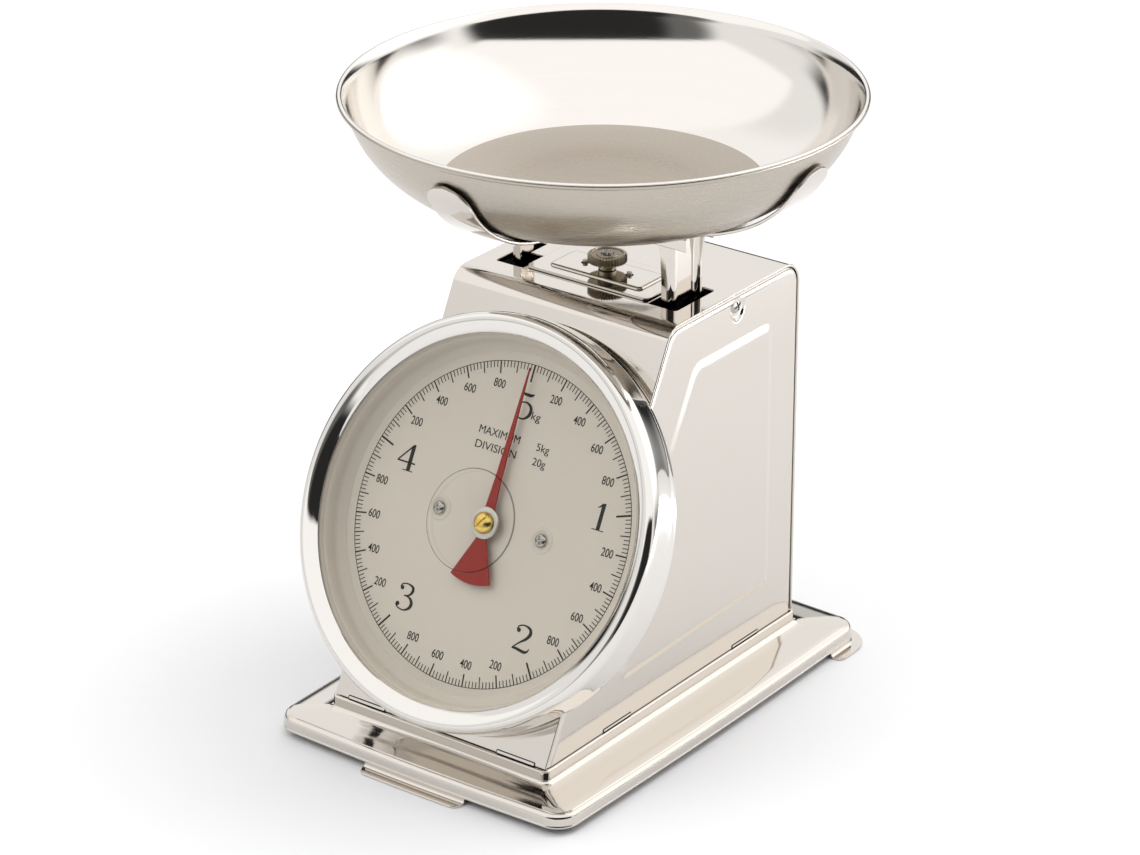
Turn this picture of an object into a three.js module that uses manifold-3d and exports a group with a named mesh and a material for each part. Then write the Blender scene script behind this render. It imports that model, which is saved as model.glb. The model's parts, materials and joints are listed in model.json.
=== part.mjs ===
// Dial kitchen scale: a spring scale with a lift-off weighing bowl, a slanted round dial,
// a rack-and-pinion pointer drive and a zero-setting knob under the bowl.
// Millimetres, +Z up, the dial faces -Y. The origin is on the table, under the middle of the box.
import * as THREE from "three";
import { mergeVertices } from "three/addons/utils/BufferGeometryUtils.js";
import Module from "manifold-3d";

const wasm = await Module();
wasm.setup();

// ---------------------------------------------------------------- driving dimensions
const GAP = 0.3; // between pieces that touch
const SHEET = 1.2; // pressed steel

// Heights above the table
const LIP_BOTTOM = 3.3;
const LIP_TOP = 9.8;
const PLATEAU_FOOT = 13.3;
const PLATEAU_TOP = 19.3;
const BODY_TOP = 194;

// Body
const BODY_HALF = 58.15;
const SIDE_DEPTH = 5; // how far a side panel's edge turns in
const SIDE_SHEET = 1;
const FRONT_FOOT_Y = -105.7;
const BACK_Y = 83.3;
const TILT = THREE.MathUtils.degToRad(27.38); // of the front, from upright
const TOP_FRONT_RADIUS = 10;
const TOP_BACK_RADIUS = 11;

// Tray
const TRAY_HALF = 80;
const TRAY_FRONT = -122.3;
const TRAY_BACK = 108.2;
const TRAY_CORNER = 12;
const TRAY_BOW = 1.3;
const PLATEAU_MARGIN = 1.4; // beyond the body

// Bowl, its seat and the platform
const BOWL_Y = 14.2;
const RIM_RADIUS = 115;
const RIM_WIDTH = 2.7;
const RIM_TOP = BODY_TOP + 87.3;
const BOWL_FLOOR = BODY_TOP + 38; // underside
const BOWL_FLOOR_RADIUS = 47;
const BOWL_SHEET = 1;
const ARM_HALF = 11.5;
const ARM_SHEET = 1.5;
const ARM_TIP_GAP = 1.1;
const ARM_END = 0.925; // how far along the bowl's curve an arm reaches

// Yoke
const POST_X = 44; // outer face of a post
const POST_HALF = 9.4;
const POST_BOTTOM = 60;
const BEAM_HALF_X = 52;
const BEAM_HALF_Y = 10.9;
const BEAM_TOP = BOWL_FLOOR - GAP - 2 * (ARM_SHEET + GAP);
const BEAM_DEPTH = 7.1;

// Dial: measured up the front, and out from it
const DIAL_UP_FRONT = 93.6;
const BEZEL_RADIUS = 91.8;
const BEZEL_DEPTH = 21.9;
const WINDOW_RADIUS = 82;
const DIAL_LEVEL = 5.5;
const GLASS_LEVEL = 17.6;
const DIAL_SCREW_X = 27.8;
const POINTER_LENGTH = 70;

// Zero setting
const ZERO_Y = 17.7;
const KNOB_RADIUS = 8.8;
const KNOB_BOTTOM = BODY_TOP + 6.9;
const KNOB_TOP = BODY_TOP + 9.6;
const ROD_RADIUS = 2.5;
const SPRING_X = 12;

// Pointer drive: one turn of the pinion is the full 5 kg
const MODULE = 0.5;
const PINION_TEETH = 12;
const PINION_RADIUS = (MODULE * PINION_TEETH) / 2;
const RACK_TRAVEL = 2 * Math.PI * PINION_RADIUS;
const PLATFORM_TRAVEL = RACK_TRAVEL * Math.cos(TILT);

// Guide levers
const LEVER_BACK_Y = 66;
const LEVER_LENGTH = LEVER_BACK_Y - BOWL_Y;
const LEVER_SWING = Math.asin(PLATFORM_TRAVEL / 2 / LEVER_LENGTH);
const LEVER_HIGH_Z = 160; // carrier end at rest
const LEVER_LOW_Z = 75;
const LEVER_PIN_RADIUS = 2;
const CARRIER_PIN_RADIUS = 1.6;
const CHASSIS_HALF = 51.5;

// ---------------------------------------------------------------- materials
const steel = (colour, roughness) =>
  new THREE.MeshStandardMaterial({ color: colour, roughness, metalness: 1 });
const MIRROR = steel(0xd9d4cc, 0.08);
const SATIN = steel(0xb9b2a8, 0.3);
const CHROME = steel(0xe2e0dc, 0.04);
const ZINC = steel(0x9b9b98, 0.45);
const NICKEL = steel(0x96876e, 0.4);
const BRASS = steel(0xc09a3c, 0.25);
const SPRING_STEEL = steel(0x6f6f70, 0.3);
const DIAL_PAINT = new THREE.MeshStandardMaterial({ color: 0xbeb7ac, roughness: 0.55 });
const POINTER_RED = new THREE.MeshStandardMaterial({ color: 0x96231e, roughness: 0.4 });
const CLEAR = new THREE.MeshStandardMaterial({
  color: 0xf4f4f2,
  roughness: 0.02,
  transparent: true,
  opacity: 0.3,
});

// ---------------------------------------------------------------- solids
function toSolid(geometry) {
  const bare = geometry.clone();
  bare.deleteAttribute("normal");
  bare.deleteAttribute("uv");
  const merged = mergeVertices(bare, 1e-4);
  return new wasm.Manifold(
    new wasm.Mesh({
      numProp: 3,
      vertProperties: merged.attributes.position.array,
      triVerts: new Uint32Array(merged.index.array),
    }),
  );
}

function toGeometry(solid) {
  const mesh = solid.getMesh();
  const geometry = new THREE.BufferGeometry();
  geometry.setAttribute("position", new THREE.BufferAttribute(mesh.vertProperties, 3));
  geometry.setIndex(new THREE.BufferAttribute(mesh.triVerts, 1));
  return geometry;
}

const join = (first, ...rest) =>
  toGeometry(rest.reduce((sum, piece) => sum.add(toSolid(piece)), toSolid(first)));
const cut = (first, ...tools) =>
  toGeometry(tools.reduce((sum, piece) => sum.subtract(toSolid(piece)), toSolid(first)));
const common = (a, b) => toGeometry(toSolid(a).intersect(toSolid(b)));

function block(x0, x1, y0, y1, z0, z1) {
  const geometry = new THREE.BoxGeometry(x1 - x0, y1 - y0, z1 - z0);
  return geometry.translate((x0 + x1) / 2, (y0 + y1) / 2, (z0 + z1) / 2);
}

// A cylinder along X, Y or Z, from one coordinate to another, through (a, b) of the other two axes.
function rod(axis, radius, from, to, a, b, sides = 16) {
  const geometry = new THREE.CylinderGeometry(radius, radius, to - from, sides);
  const middle = (from + to) / 2;
  if (axis === "x") return geometry.rotateZ(Math.PI / 2).translate(middle, a, b);
  if (axis === "y") return geometry.translate(a, middle, b);
  return geometry.rotateX(Math.PI / 2).translate(a, b, middle);
}

// An outline of [u, v] points, pushed along X (as y, z), along Y (as x, z) or along Z (as x, y).
function prism(axis, outline, from, to) {
  const shape = new THREE.Shape(outline.map(([u, v]) => new THREE.Vector2(u, v)));
  const geometry = new THREE.ExtrudeGeometry(shape, { depth: to - from, bevelEnabled: false });
  const turn = new THREE.Matrix4();
  const x = new THREE.Vector3(1, 0, 0);
  const y = new THREE.Vector3(0, 1, 0);
  const z = new THREE.Vector3(0, 0, 1);
  if (axis === "x") turn.makeBasis(y, z, x).setPosition(from, 0, 0);
  if (axis === "y") turn.makeBasis(x, z, y.clone().negate()).setPosition(0, to, 0);
  if (axis === "z") turn.setPosition(0, 0, from);
  return geometry.applyMatrix4(turn);
}

// A closed [radius, height] profile turned about Z.
function turned(profile, segments = 32) {
  const points = profile.map(([r, h]) => new THREE.Vector2(r, h));
  const area = THREE.ShapeUtils.area(points);
  if (area < 0) points.reverse();
  const [r, h] = [points[0].x, points[0].y];
  if (r > 0) points.push(new THREE.Vector2(r, h));
  return new THREE.LatheGeometry(points, segments).rotateX(Math.PI / 2);
}

// Corners [u, v, radius], in order, with each radius as an arc of a few steps.
function rounded(corners, steps = 4) {
  const outline = [];
  corners.forEach(([u, v, radius], i) => {
    const here = new THREE.Vector2(u, v);
    const [pu, pv] = corners.at(i - 1);
    const [nu, nv] = corners[(i + 1) % corners.length];
    const back = new THREE.Vector2(pu, pv).sub(here).normalize();
    const on = new THREE.Vector2(nu, nv).sub(here).normalize();
    if (!radius) {
      outline.push([u, v]);
      return;
    }
    const half = Math.acos(THREE.MathUtils.clamp(back.dot(on), -1, 1)) / 2;
    const middle = back.clone().add(on).normalize().multiplyScalar(radius / Math.sin(half));
    const centre = here.clone().add(middle);
    const reach = radius / Math.tan(half);
    const start = here.clone().addScaledVector(back, reach).sub(centre);
    const end = here.clone().addScaledVector(on, reach).sub(centre);
    const turn = Math.atan2(start.cross(end), start.dot(end));
    for (let s = 0; s <= steps; s += 1) {
      const p = start.clone().rotateAround(new THREE.Vector2(), (turn * s) / steps).add(centre);
      outline.push([p.x, p.y]);
    }
  });
  return outline;
}

// Rings of equal point counts joined in order, with the first and last closed flat.
function loft(rings) {
  const count = rings[0].length;
  const geometry = new THREE.BufferGeometry().setFromPoints(rings.flat());
  const index = [];
  for (let r = 0; r + 1 < rings.length; r += 1) {
    for (let i = 0; i < count; i += 1) {
      const j = (i + 1) % count;
      const [a, b, c, d] = [r * count + i, r * count + j, (r + 1) * count + i, (r + 1) * count + j];
      index.push(a, c, b, b, c, d);
    }
  }
  const last = (rings.length - 1) * count;
  for (let i = 1; i + 1 < count; i += 1) {
    index.push(0, i, i + 1);
    index.push(last, last + i + 1, last + i);
  }
  return geometry.setIndex(index);
}

// ---------------------------------------------------------------- the assembly
const scale = new THREE.Group();
// The dial's own frame: its +Z is out of the dial, its +Y is up the slanted front.
const dial = new THREE.Group();
dial.position.set(
  0,
  FRONT_FOOT_Y + DIAL_UP_FRONT * Math.sin(TILT),
  PLATEAU_TOP + DIAL_UP_FRONT * Math.cos(TILT),
);
dial.rotation.x = Math.PI / 2 - TILT;
scale.add(dial);

function add(name, geometry, material, parent = scale) {
  const mesh = new THREE.Mesh(geometry, material);
  mesh.name = name;
  parent.add(mesh);
  return mesh;
}

const SIDES = [
  ["left", -1],
  ["right", 1],
];
const frontY = (z) => FRONT_FOOT_Y + (z - PLATEAU_TOP) * Math.tan(TILT);

// The body's side view, drawn in by an inset from its front, top and back.
function bodyOutline(inset, bottom) {
  const lean = inset / Math.cos(TILT);
  const top = BODY_TOP - inset;
  return rounded([
    [frontY(bottom) + lean, bottom, 0],
    [BACK_Y - inset, bottom, 0],
    [BACK_Y - inset, top, TOP_BACK_RADIUS - inset],
    [frontY(top) + lean, top, TOP_FRONT_RADIUS - inset],
  ]);
}

// ---------------------------------------------------------------- base tray
// One level of the tray: an arc at each corner, and a point at the middle of each bowed side.
function trayRing(half, front, back, corner, bow, z) {
  const corners = [
    [half - corner, front + corner, -90],
    [half - corner, back - corner, 0],
    [-half + corner, back - corner, 90],
    [-half + corner, front + corner, 180],
  ];
  const edges = [
    [half + bow, (front + back) / 2],
    [0, back + bow],
    [-half - bow, (front + back) / 2],
    [0, front - bow],
  ];
  const ring = [];
  corners.forEach(([x, y, start], i) => {
    for (let step = 0; step <= 3; step += 1) {
      const angle = THREE.MathUtils.degToRad(start + step * 30);
      ring.push(new THREE.Vector3(x + corner * Math.cos(angle), y + corner * Math.sin(angle), z));
    }
    ring.push(new THREE.Vector3(...edges[i], z));
  });
  return ring;
}

function trayShell() {
  const lip = (inset, z) =>
    trayRing(
      TRAY_HALF - inset,
      TRAY_FRONT + inset,
      TRAY_BACK - inset,
      TRAY_CORNER - inset,
      TRAY_BOW,
      z,
    );
  const plateau = (inset, z) =>
    trayRing(
      BODY_HALF + PLATEAU_MARGIN - inset,
      FRONT_FOOT_Y - PLATEAU_MARGIN + inset,
      BACK_Y + PLATEAU_MARGIN - inset,
      3 - inset,
      0,
      z,
    );
  return loft([
    plateau(0, PLATEAU_TOP),
    plateau(0, PLATEAU_FOOT),
    lip(1.5, LIP_TOP),
    lip(0, LIP_TOP - 1.5),
    lip(0, LIP_BOTTOM),
    lip(SHEET, LIP_BOTTOM),
    lip(SHEET + 1, LIP_TOP - SHEET),
    plateau(SHEET, PLATEAU_FOOT - SHEET),
    plateau(SHEET, PLATEAU_TOP - SHEET),
  ]);
}

const FOOT_HALF = 28;
const FOOT_REACH = 6.9;
const BACK_FOOT = { radius: 16, x: 66, y: 101 };

function frontFoot() {
  const wall = TRAY_FRONT - TRAY_BOW;
  const flange = rounded([
    [-FOOT_HALF, wall + 3, 0],
    [-FOOT_HALF, TRAY_FRONT - FOOT_REACH, 3],
    [FOOT_HALF, TRAY_FRONT - FOOT_REACH, 3],
    [FOOT_HALF, wall + 3, 0],
  ]);
  const riser = block(-FOOT_HALF, FOOT_HALF, wall + 1, wall + 3, 0, LIP_BOTTOM + 2.5);
  return join(prism("z", flange, 0, SHEET), riser);
}

function backFoot(side) {
  const { radius, y } = BACK_FOOT;
  const x = side * BACK_FOOT.x;
  const flange = rod("z", radius, 0, SHEET, x, y, 28);
  const opening = rod("z", TRAY_CORNER - 2, -1, SHEET + 1, x, y - 3, 16);
  return join(cut(flange, opening), lipCorner(side));
}

// The stretch of wall that carries a back foot, round the tray's corner.
function lipCorner(side) {
  const x = side * (TRAY_HALF - TRAY_CORNER);
  const y = TRAY_BACK - TRAY_CORNER;
  const outer = rod("z", TRAY_CORNER + 0.2, 0, LIP_BOTTOM + 2.5, x, y, 24);
  const inner = rod("z", TRAY_CORNER - 1.3, -1, LIP_BOTTOM + 4, x, y, 24);
  const far = side * (TRAY_HALF + 5);
  const keep = block(Math.min(x, far), Math.max(x, far), y, y + 20, -1, LIP_BOTTOM + 3);
  return common(cut(outer, inner), keep);
}

add("base_tray", join(trayShell(), frontFoot(), backFoot(-1), backFoot(1)), MIRROR);

// ---------------------------------------------------------------- body
const BODY_BOTTOM = PLATEAU_TOP + GAP;
const SLOT = { inner: 33.8, outer: 48.7, front: 1, step: 17, back: 30 };
const FRONT_HOLE_RADIUS = 46;
const BRIDGE_HOLE = { halfX: 19, halfY: 6 };

function slotOutline(side) {
  const outline = [
    [SLOT.inner, SLOT.front],
    [SLOT.outer, SLOT.front],
    [SLOT.outer, SLOT.back],
    [POST_X - 2, SLOT.back],
    [POST_X - 2, SLOT.step],
    [SLOT.inner, SLOT.step],
  ];
  return outline.map(([x, y]) => [side * x, y]);
}

function bodyShell() {
  const outer = prism("x", bodyOutline(0, BODY_BOTTOM), -BODY_HALF, BODY_HALF);
  const inner = prism("x", bodyOutline(SHEET, BODY_BOTTOM - 5), -BODY_HALF - 1, BODY_HALF + 1);
  const hole = rod("z", FRONT_HOLE_RADIUS, -10, 10, 0, 0, 32);
  dial.updateMatrix();
  hole.applyMatrix4(dial.matrix);
  const slots = SIDES.map(([, side]) =>
    prism("z", side < 0 ? slotOutline(-1).reverse() : slotOutline(1), BODY_TOP - 5, BODY_TOP + 5),
  );
  const middle = block(
    -BRIDGE_HOLE.halfX,
    BRIDGE_HOLE.halfX,
    ZERO_Y - BRIDGE_HOLE.halfY,
    ZERO_Y + BRIDGE_HOLE.halfY,
    BODY_TOP - 5,
    BODY_TOP + 5,
  );
  return cut(outer, inner, hole, ...slots, middle);
}

add("body_shell", bodyShell(), MIRROR);

const SIDE_SCREW = { y: 34.5, z: BODY_TOP - 5.6 };
const EMBOSS_HEIGHT = 0.7;

function sidePanel(side) {
  const face = side * BODY_HALF;
  const span = (depthA, depthB) =>
    [face - side * depthA, face - side * depthB].sort((a, b) => a - b);
  const edge = SHEET + GAP;
  const whole = prism("x", bodyOutline(edge, BODY_BOTTOM), ...span(0, SIDE_DEPTH));
  const rim = edge + SIDE_SHEET;
  const hollow = prism("x", bodyOutline(rim, BODY_BOTTOM + SIDE_SHEET), ...span(SIDE_SHEET, 10));
  const boss = common(rod("x", 6.7, ...span(0, SIDE_DEPTH), SIDE_SCREW.y, SIDE_SCREW.z), whole);
  const pocket = rod("x", 5.5, ...span(-1, 2), SIDE_SCREW.y, SIDE_SCREW.z);
  const bore = rod("x", 2, ...span(-1, 6), SIDE_SCREW.y, SIDE_SCREW.z);
  const raised = rounded(
    [
      [-54.4, 38.5, 4],
      [61.3, 41.7, 4],
      [60, 169.3, 6],
      [2.4, 169.3, 8],
      [-15.6, 136.6, 0],
    ],
    3,
  );
  const panel = prism("x", raised, ...span(-EMBOSS_HEIGHT, SIDE_SHEET / 2));
  return cut(join(cut(whole, hollow), boss, panel), pocket, bore);
}

function screw(headRadius, headHeight, shankRadius, shankLength) {
  return turned(
    [
      [0, headHeight],
      [headRadius * 0.6, headHeight * 0.85],
      [headRadius, headHeight * 0.35],
      [headRadius, 0],
      [shankRadius, 0],
      [shankRadius, -shankLength],
      [0, -shankLength],
    ],
    12,
  );
}

for (const [name, side] of SIDES) {
  add(`side_panel_${name}`, sidePanel(side), MIRROR);
  const fixing = add(`side_screw_${name}`, screw(3.6, 1.9, 1.4, 8), CHROME);
  fixing.position.set(side * (BODY_HALF - 2 + GAP), SIDE_SCREW.y, SIDE_SCREW.z);
  fixing.rotation.y = (side * Math.PI) / 2;
}

// ---------------------------------------------------------------- dial unit
function bezel() {
  const crest = BEZEL_DEPTH;
  const r = BEZEL_RADIUS;
  return turned(
    [
      [r - 1.2, 0.6],
      [r - 1.2, 3],
      [r, 4],
      [r, crest - 5],
      [r - 0.9, crest - 2.1],
      [r - 3, crest - 0.4],
      [r - 5.6, crest],
      [WINDOW_RADIUS + 1, crest - 1.1],
      [WINDOW_RADIUS, GLASS_LEVEL + 2.6],
      [WINDOW_RADIUS, GLASS_LEVEL + 1.8],
      [r - 5.6, GLASS_LEVEL + 2.4],
      [r - 3, crest - 2.4],
      [r - SHEET, crest - 5],
      [r - SHEET, 4.5],
      [r - 1.2 - SHEET, 3.4],
      [r - 1.2 - SHEET, 0.6],
    ],
    40,
  );
}

function dialPan() {
  const r = BEZEL_RADIUS - 1.2 - SHEET - GAP;
  const pan = turned([
    [46, 0.5],
    [r, 0.5],
    [r, 3],
    [r - 1, 3],
    [r - 1, 1.5],
    [46, 1.5],
  ]);
  const middle = turned([
    [6, 0.5],
    [47, 0.5],
    [47, 1.5],
    [6, 1.5],
  ]);
  const bores = SIDES.map(([, side]) => rod("z", 2.2, -1, 3, side * DIAL_SCREW_X, 0));
  return cut(join(pan, middle), ...bores);
}

function dialPlate() {
  const z = DIAL_LEVEL;
  const under = z - 1;
  const flange = GLASS_LEVEL - GAP;
  const plate = turned([
    [2.2, under],
    [75.4, under],
    [79.2, 7.4],
    [81.8, flange - 1],
    [86.5, flange - 1],
    [86.5, flange],
    [81, flange],
    [78.2, 8],
    [75, z],
    [2.2, z],
  ]);
  const bores = SIDES.map(([, side]) => rod("z", 1.8, 3, 7, side * DIAL_SCREW_X, 0, 12));
  return cut(plate, ...bores);
}

// The lens, with a raised round middle.
function glass() {
  const low = GLASS_LEVEL;
  const sheet = 1.4;
  const raised = 2.5;
  const middle = 22.8;
  return turned([
    [0, low + raised],
    [middle - sheet, low + raised],
    [middle - sheet, low],
    [86.5, low],
    [86.5, low + sheet],
    [middle, low + sheet],
    [middle, low + raised + 0.9],
    [middle - 0.5, low + raised + sheet],
    [0, low + raised + sheet],
  ]);
}

add("bezel_ring", bezel(), CHROME, dial);
add("dial_pan", dialPan(), ZINC, dial);
add("dial_plate", dialPlate(), DIAL_PAINT, dial);
add("dial_glass", glass(), CLEAR, dial);
for (const [name, side] of SIDES) {
  const fixing = add(`dial_screw_${name}`, screw(3, 1.6, 1.4, 19), CHROME, dial);
  fixing.position.set(side * DIAL_SCREW_X, 0, DIAL_LEVEL + GAP);
}

// ---------------------------------------------------------------- pointer
const NEEDLE_LEVEL = 8.6;
const NEEDLE_SHEET = 0.6;
const HUB_RADIUS = 6;
const TAIL_RADIUS = 29;
const TAIL_SPREAD = THREE.MathUtils.degToRad(46);
const SHAFT_RADIUS = 1.25;
const SHAFT_BACK = -36;
const TEETH_BACK = -30;
const TEETH_FRONT = -16;

function needle() {
  const root = 1.5;
  const outline = [];
  outline.push([0.25, POINTER_LENGTH], [-0.25, POINTER_LENGTH]);
  for (const angle of [107, 140, 180, 220]) {
    const a = THREE.MathUtils.degToRad(angle);
    outline.push([HUB_RADIUS * Math.cos(a), HUB_RADIUS * Math.sin(a)]);
  }
  for (let step = -3; step <= 3; step += 1) {
    const a = -Math.PI / 2 + (TAIL_SPREAD * step) / 6;
    outline.push([TAIL_RADIUS * Math.cos(a), TAIL_RADIUS * Math.sin(a)]);
  }
  for (const angle of [320, 360, 400, 433]) {
    const a = THREE.MathUtils.degToRad(angle);
    outline.push([HUB_RADIUS * Math.cos(a), HUB_RADIUS * Math.sin(a)]);
  }
  const flat = prism("z", outline, NEEDLE_LEVEL, NEEDLE_LEVEL + NEEDLE_SHEET);
  return cut(flat, rod("z", root + GAP, 0, 20, 0, 0));
}

// One involute tooth flank, as [radius, half-angle of the tooth there].
function flank() {
  const pressure = THREE.MathUtils.degToRad(20);
  const base = PINION_RADIUS * Math.cos(pressure);
  const slack = 0.09;
  const involute = (r) => {
    const a = Math.acos(Math.min(1, base / r));
    return Math.tan(a) - a;
  };
  const atPitch = Math.PI / 2 / PINION_TEETH - slack / PINION_RADIUS;
  const tip = PINION_RADIUS + 0.7 * MODULE;
  const radii = [base, (base + PINION_RADIUS) / 2, PINION_RADIUS, (PINION_RADIUS + tip) / 2, tip];
  return radii.map((r) => [r, atPitch + involute(PINION_RADIUS) - involute(r)]);
}

function pinionOutline() {
  const root = PINION_RADIUS - 1.1 * MODULE;
  const side = flank();
  const outline = [];
  for (let tooth = 0; tooth < PINION_TEETH; tooth += 1) {
    const middle = ((tooth + 0.5) * 2 * Math.PI) / PINION_TEETH;
    const at = (r, angle) => outline.push([r * Math.cos(angle), r * Math.sin(angle)]);
    at(root, middle - side[0][1]);
    side.forEach(([r, half]) => at(r, middle - half));
    side.toReversed().forEach(([r, half]) => at(r, middle + half));
    at(root, middle + side[0][1]);
  }
  return outline;
}

add("pointer", needle(), POINTER_RED, dial);
add(
  "pinion_shaft",
  join(
    rod("z", SHAFT_RADIUS, SHAFT_BACK, 10.5, 0, 0),
    prism("z", pinionOutline(), TEETH_BACK, TEETH_FRONT),
  ),
  BRASS,
  dial,
);
const HUB_LEVEL = NEEDLE_LEVEL + NEEDLE_SHEET + GAP;
add(
  "hub_washer",
  turned(
    [
      [1.7, HUB_LEVEL],
      [7.1, HUB_LEVEL],
      [7.1, HUB_LEVEL + 0.7],
      [6.6, HUB_LEVEL + 1],
      [1.7, HUB_LEVEL + 1],
    ],
    24,
  ),
  ZINC,
  dial,
);
const HUB_SCREW_LEVEL = HUB_LEVEL + 1 + GAP;
add(
  "hub_screw",
  cut(
    turned(
      [
        [0, HUB_SCREW_LEVEL],
        [4.9, HUB_SCREW_LEVEL],
        [4.9, HUB_SCREW_LEVEL + 1],
        [3.9, HUB_SCREW_LEVEL + 2.1],
        [1.8, HUB_SCREW_LEVEL + 2.7],
        [0, HUB_SCREW_LEVEL + 2.9],
      ],
      20,
    ),
    block(-0.5, 0.5, -5, 5, HUB_SCREW_LEVEL + 1.7, HUB_SCREW_LEVEL + 5),
  ),
  BRASS,
  dial,
);

// ---------------------------------------------------------------- pinion frame, bushes and rack guide
const FRONT_PLATE = { back: -14, front: -12.5 };
const BACK_PLATE = { back: -34, front: -32.5 };
const FRAME_LOW = -30;
const FRAME_HIGH = 14;
const BUSH_RADIUS = 3;

function pinionFrame() {
  const side = CHASSIS_HALF - 1.5 - GAP;
  const front = block(-side, side, FRAME_LOW, FRAME_HIGH, FRONT_PLATE.back, FRONT_PLATE.front);
  const back = block(-14, 14, FRAME_LOW, FRAME_HIGH, BACK_PLATE.back, BACK_PLATE.front);
  const web = block(-14, 14, FRAME_LOW, FRAME_LOW + 1.5, BACK_PLATE.back, FRONT_PLATE.front);
  const bores = SIDES.map(([, s]) => rod("z", 1.75, -20, -5, s * DIAL_SCREW_X, 0, 12));
  return cut(join(front, back, web), rod("z", BUSH_RADIUS + GAP, -40, -5, 0, 0), ...bores);
}

// A flanged bush whose flange faces forward or back.
function bush(plate, facing) {
  const face = facing > 0 ? plate.front : plate.back;
  const far = facing > 0 ? plate.back : plate.front;
  const inner = SHAFT_RADIUS + 0.15;
  return turned(
    [
      [inner, far],
      [BUSH_RADIUS, far],
      [BUSH_RADIUS, face + facing * GAP],
      [BUSH_RADIUS + 1.5, face + facing * GAP],
      [BUSH_RADIUS + 1.5, face + facing * 1.3],
      [inner, face + facing * 1.3],
    ],
    20,
  );
}

add("pinion_frame", pinionFrame(), ZINC, dial);
add("shaft_bush_front", bush(FRONT_PLATE, 1), BRASS, dial);
add("shaft_bush_back", bush(BACK_PLATE, -1), BRASS, dial);

// ---------------------------------------------------------------- rack
const RACK = { pitchX: PINION_RADIUS, backX: 8.5, back: -24.5, front: -21.5, low: -5, high: 46 };
const RACK_TEETH = 17;
const RACK_PIN_X = 6.5;
const RACK_PIN_UP = 41;
const RACK_PIN_RADIUS = 1.6;

// Height of the carrier's rack pin at rest, where it crosses the middle of the rack's head.
const RACK_PIN_Z =
  dial.position.z +
  RACK_PIN_UP * Math.cos(TILT) +
  ((RACK.back + RACK.front) / 2) * Math.sin(TILT);

function rackOutline() {
  const pitch = Math.PI * MODULE;
  const slack = 0.09;
  const tip = RACK.pitchX - 0.55 * MODULE;
  const root = RACK.pitchX + 1.1 * MODULE;
  const slope = Math.tan(THREE.MathUtils.degToRad(20));
  const half = pitch / 4 - slack;
  const outline = [
    [RACK.backX, RACK.low],
    [RACK.backX, RACK.high - 12],
    [RACK_PIN_X + 5, RACK.high - 9],
    [RACK_PIN_X + 5, RACK.high],
    [RACK_PIN_X - 5, RACK.high],
    [RACK_PIN_X - 5, RACK.high - 9],
    [root, RACK.high - 14],
  ];
  for (let tooth = RACK_TEETH - 1; tooth >= 0; tooth -= 1) {
    const middle = (tooth - 2) * pitch;
    const atRoot = half + (root - RACK.pitchX) * slope;
    const atTip = half - (RACK.pitchX - tip) * slope;
    outline.push([root, middle + atRoot], [tip, middle + atTip]);
    outline.push([tip, middle - atTip], [root, middle - atRoot]);
  }
  outline.push([root, RACK.low]);
  return outline;
}

function rack() {
  dial.updateMatrix();
  const bore = rod("y", RACK_PIN_RADIUS + 0.4, -70, 20, RACK_PIN_X, RACK_PIN_Z);
  bore.applyMatrix4(dial.matrix.clone().invert());
  return cut(prism("z", rackOutline(), RACK.back, RACK.front), bore);
}

add("rack", rack(), ZINC, dial);
add(
  "rack_guide",
  block(RACK.backX + GAP, RACK.backX + 2, -11, 11, BACK_PLATE.front + GAP, FRONT_PLATE.back - GAP),
  BRASS,
  dial,
);

// ---------------------------------------------------------------- chassis
const LEVER_HIGH_PIVOT = LEVER_HIGH_Z - PLATFORM_TRAVEL / 2;
const LEVER_LOW_PIVOT = LEVER_LOW_Z - PLATFORM_TRAVEL / 2;

function chassis() {
  const base = BODY_BOTTOM;
  const outline = [
    [frontY(base) + 16, base],
    [78, base],
    [78, 182],
    [70, BODY_TOP - 4],
    [frontY(BODY_TOP - 4) + 16, BODY_TOP - 4],
  ];
  const plate = (side) => {
    const xs = [side * CHASSIS_HALF, side * (CHASSIS_HALF - 1.5)].sort((a, b) => a - b);
    const window1 = rounded([[-25, 36, 6], [46, 36, 6], [46, 140, 6], [12, 140, 6], [-25, 70, 6]], 2);
    return cut(prism("x", outline, ...xs), prism("x", window1, xs[0] - 1, xs[1] + 1));
  };
  const half = CHASSIS_HALF;
  const floor = cut(
    block(-half, half, frontY(base) + 16, 78, base, base + 1.5),
    block(-36, 36, -60, 50, base - 1, base + 3),
  );
  const holes = [LEVER_HIGH_PIVOT, LEVER_LOW_PIVOT].map((z) =>
    rod("x", LEVER_PIN_RADIUS + GAP, -60, 60, LEVER_BACK_Y, z),
  );
  const taps = rod("x", 1.75, -60, 60, SIDE_SCREW.y, SIDE_SCREW.z, 12);
  return cut(join(plate(-1), plate(1), floor), ...holes, taps);
}

add("chassis", chassis(), ZINC);
for (const [name, z] of [
  ["upper", LEVER_HIGH_PIVOT],
  ["lower", LEVER_LOW_PIVOT],
]) {
  const pin = rod("x", LEVER_PIN_RADIUS, -CHASSIS_HALF - 1, CHASSIS_HALF + 1, LEVER_BACK_Y, z);
  add(`lever_pin_${name}`, pin, SPRING_STEEL);
}

// ---------------------------------------------------------------- guide levers
const LEVER_ARM = { inner: 40.8, outer: 42.3, half: 4 };

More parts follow.
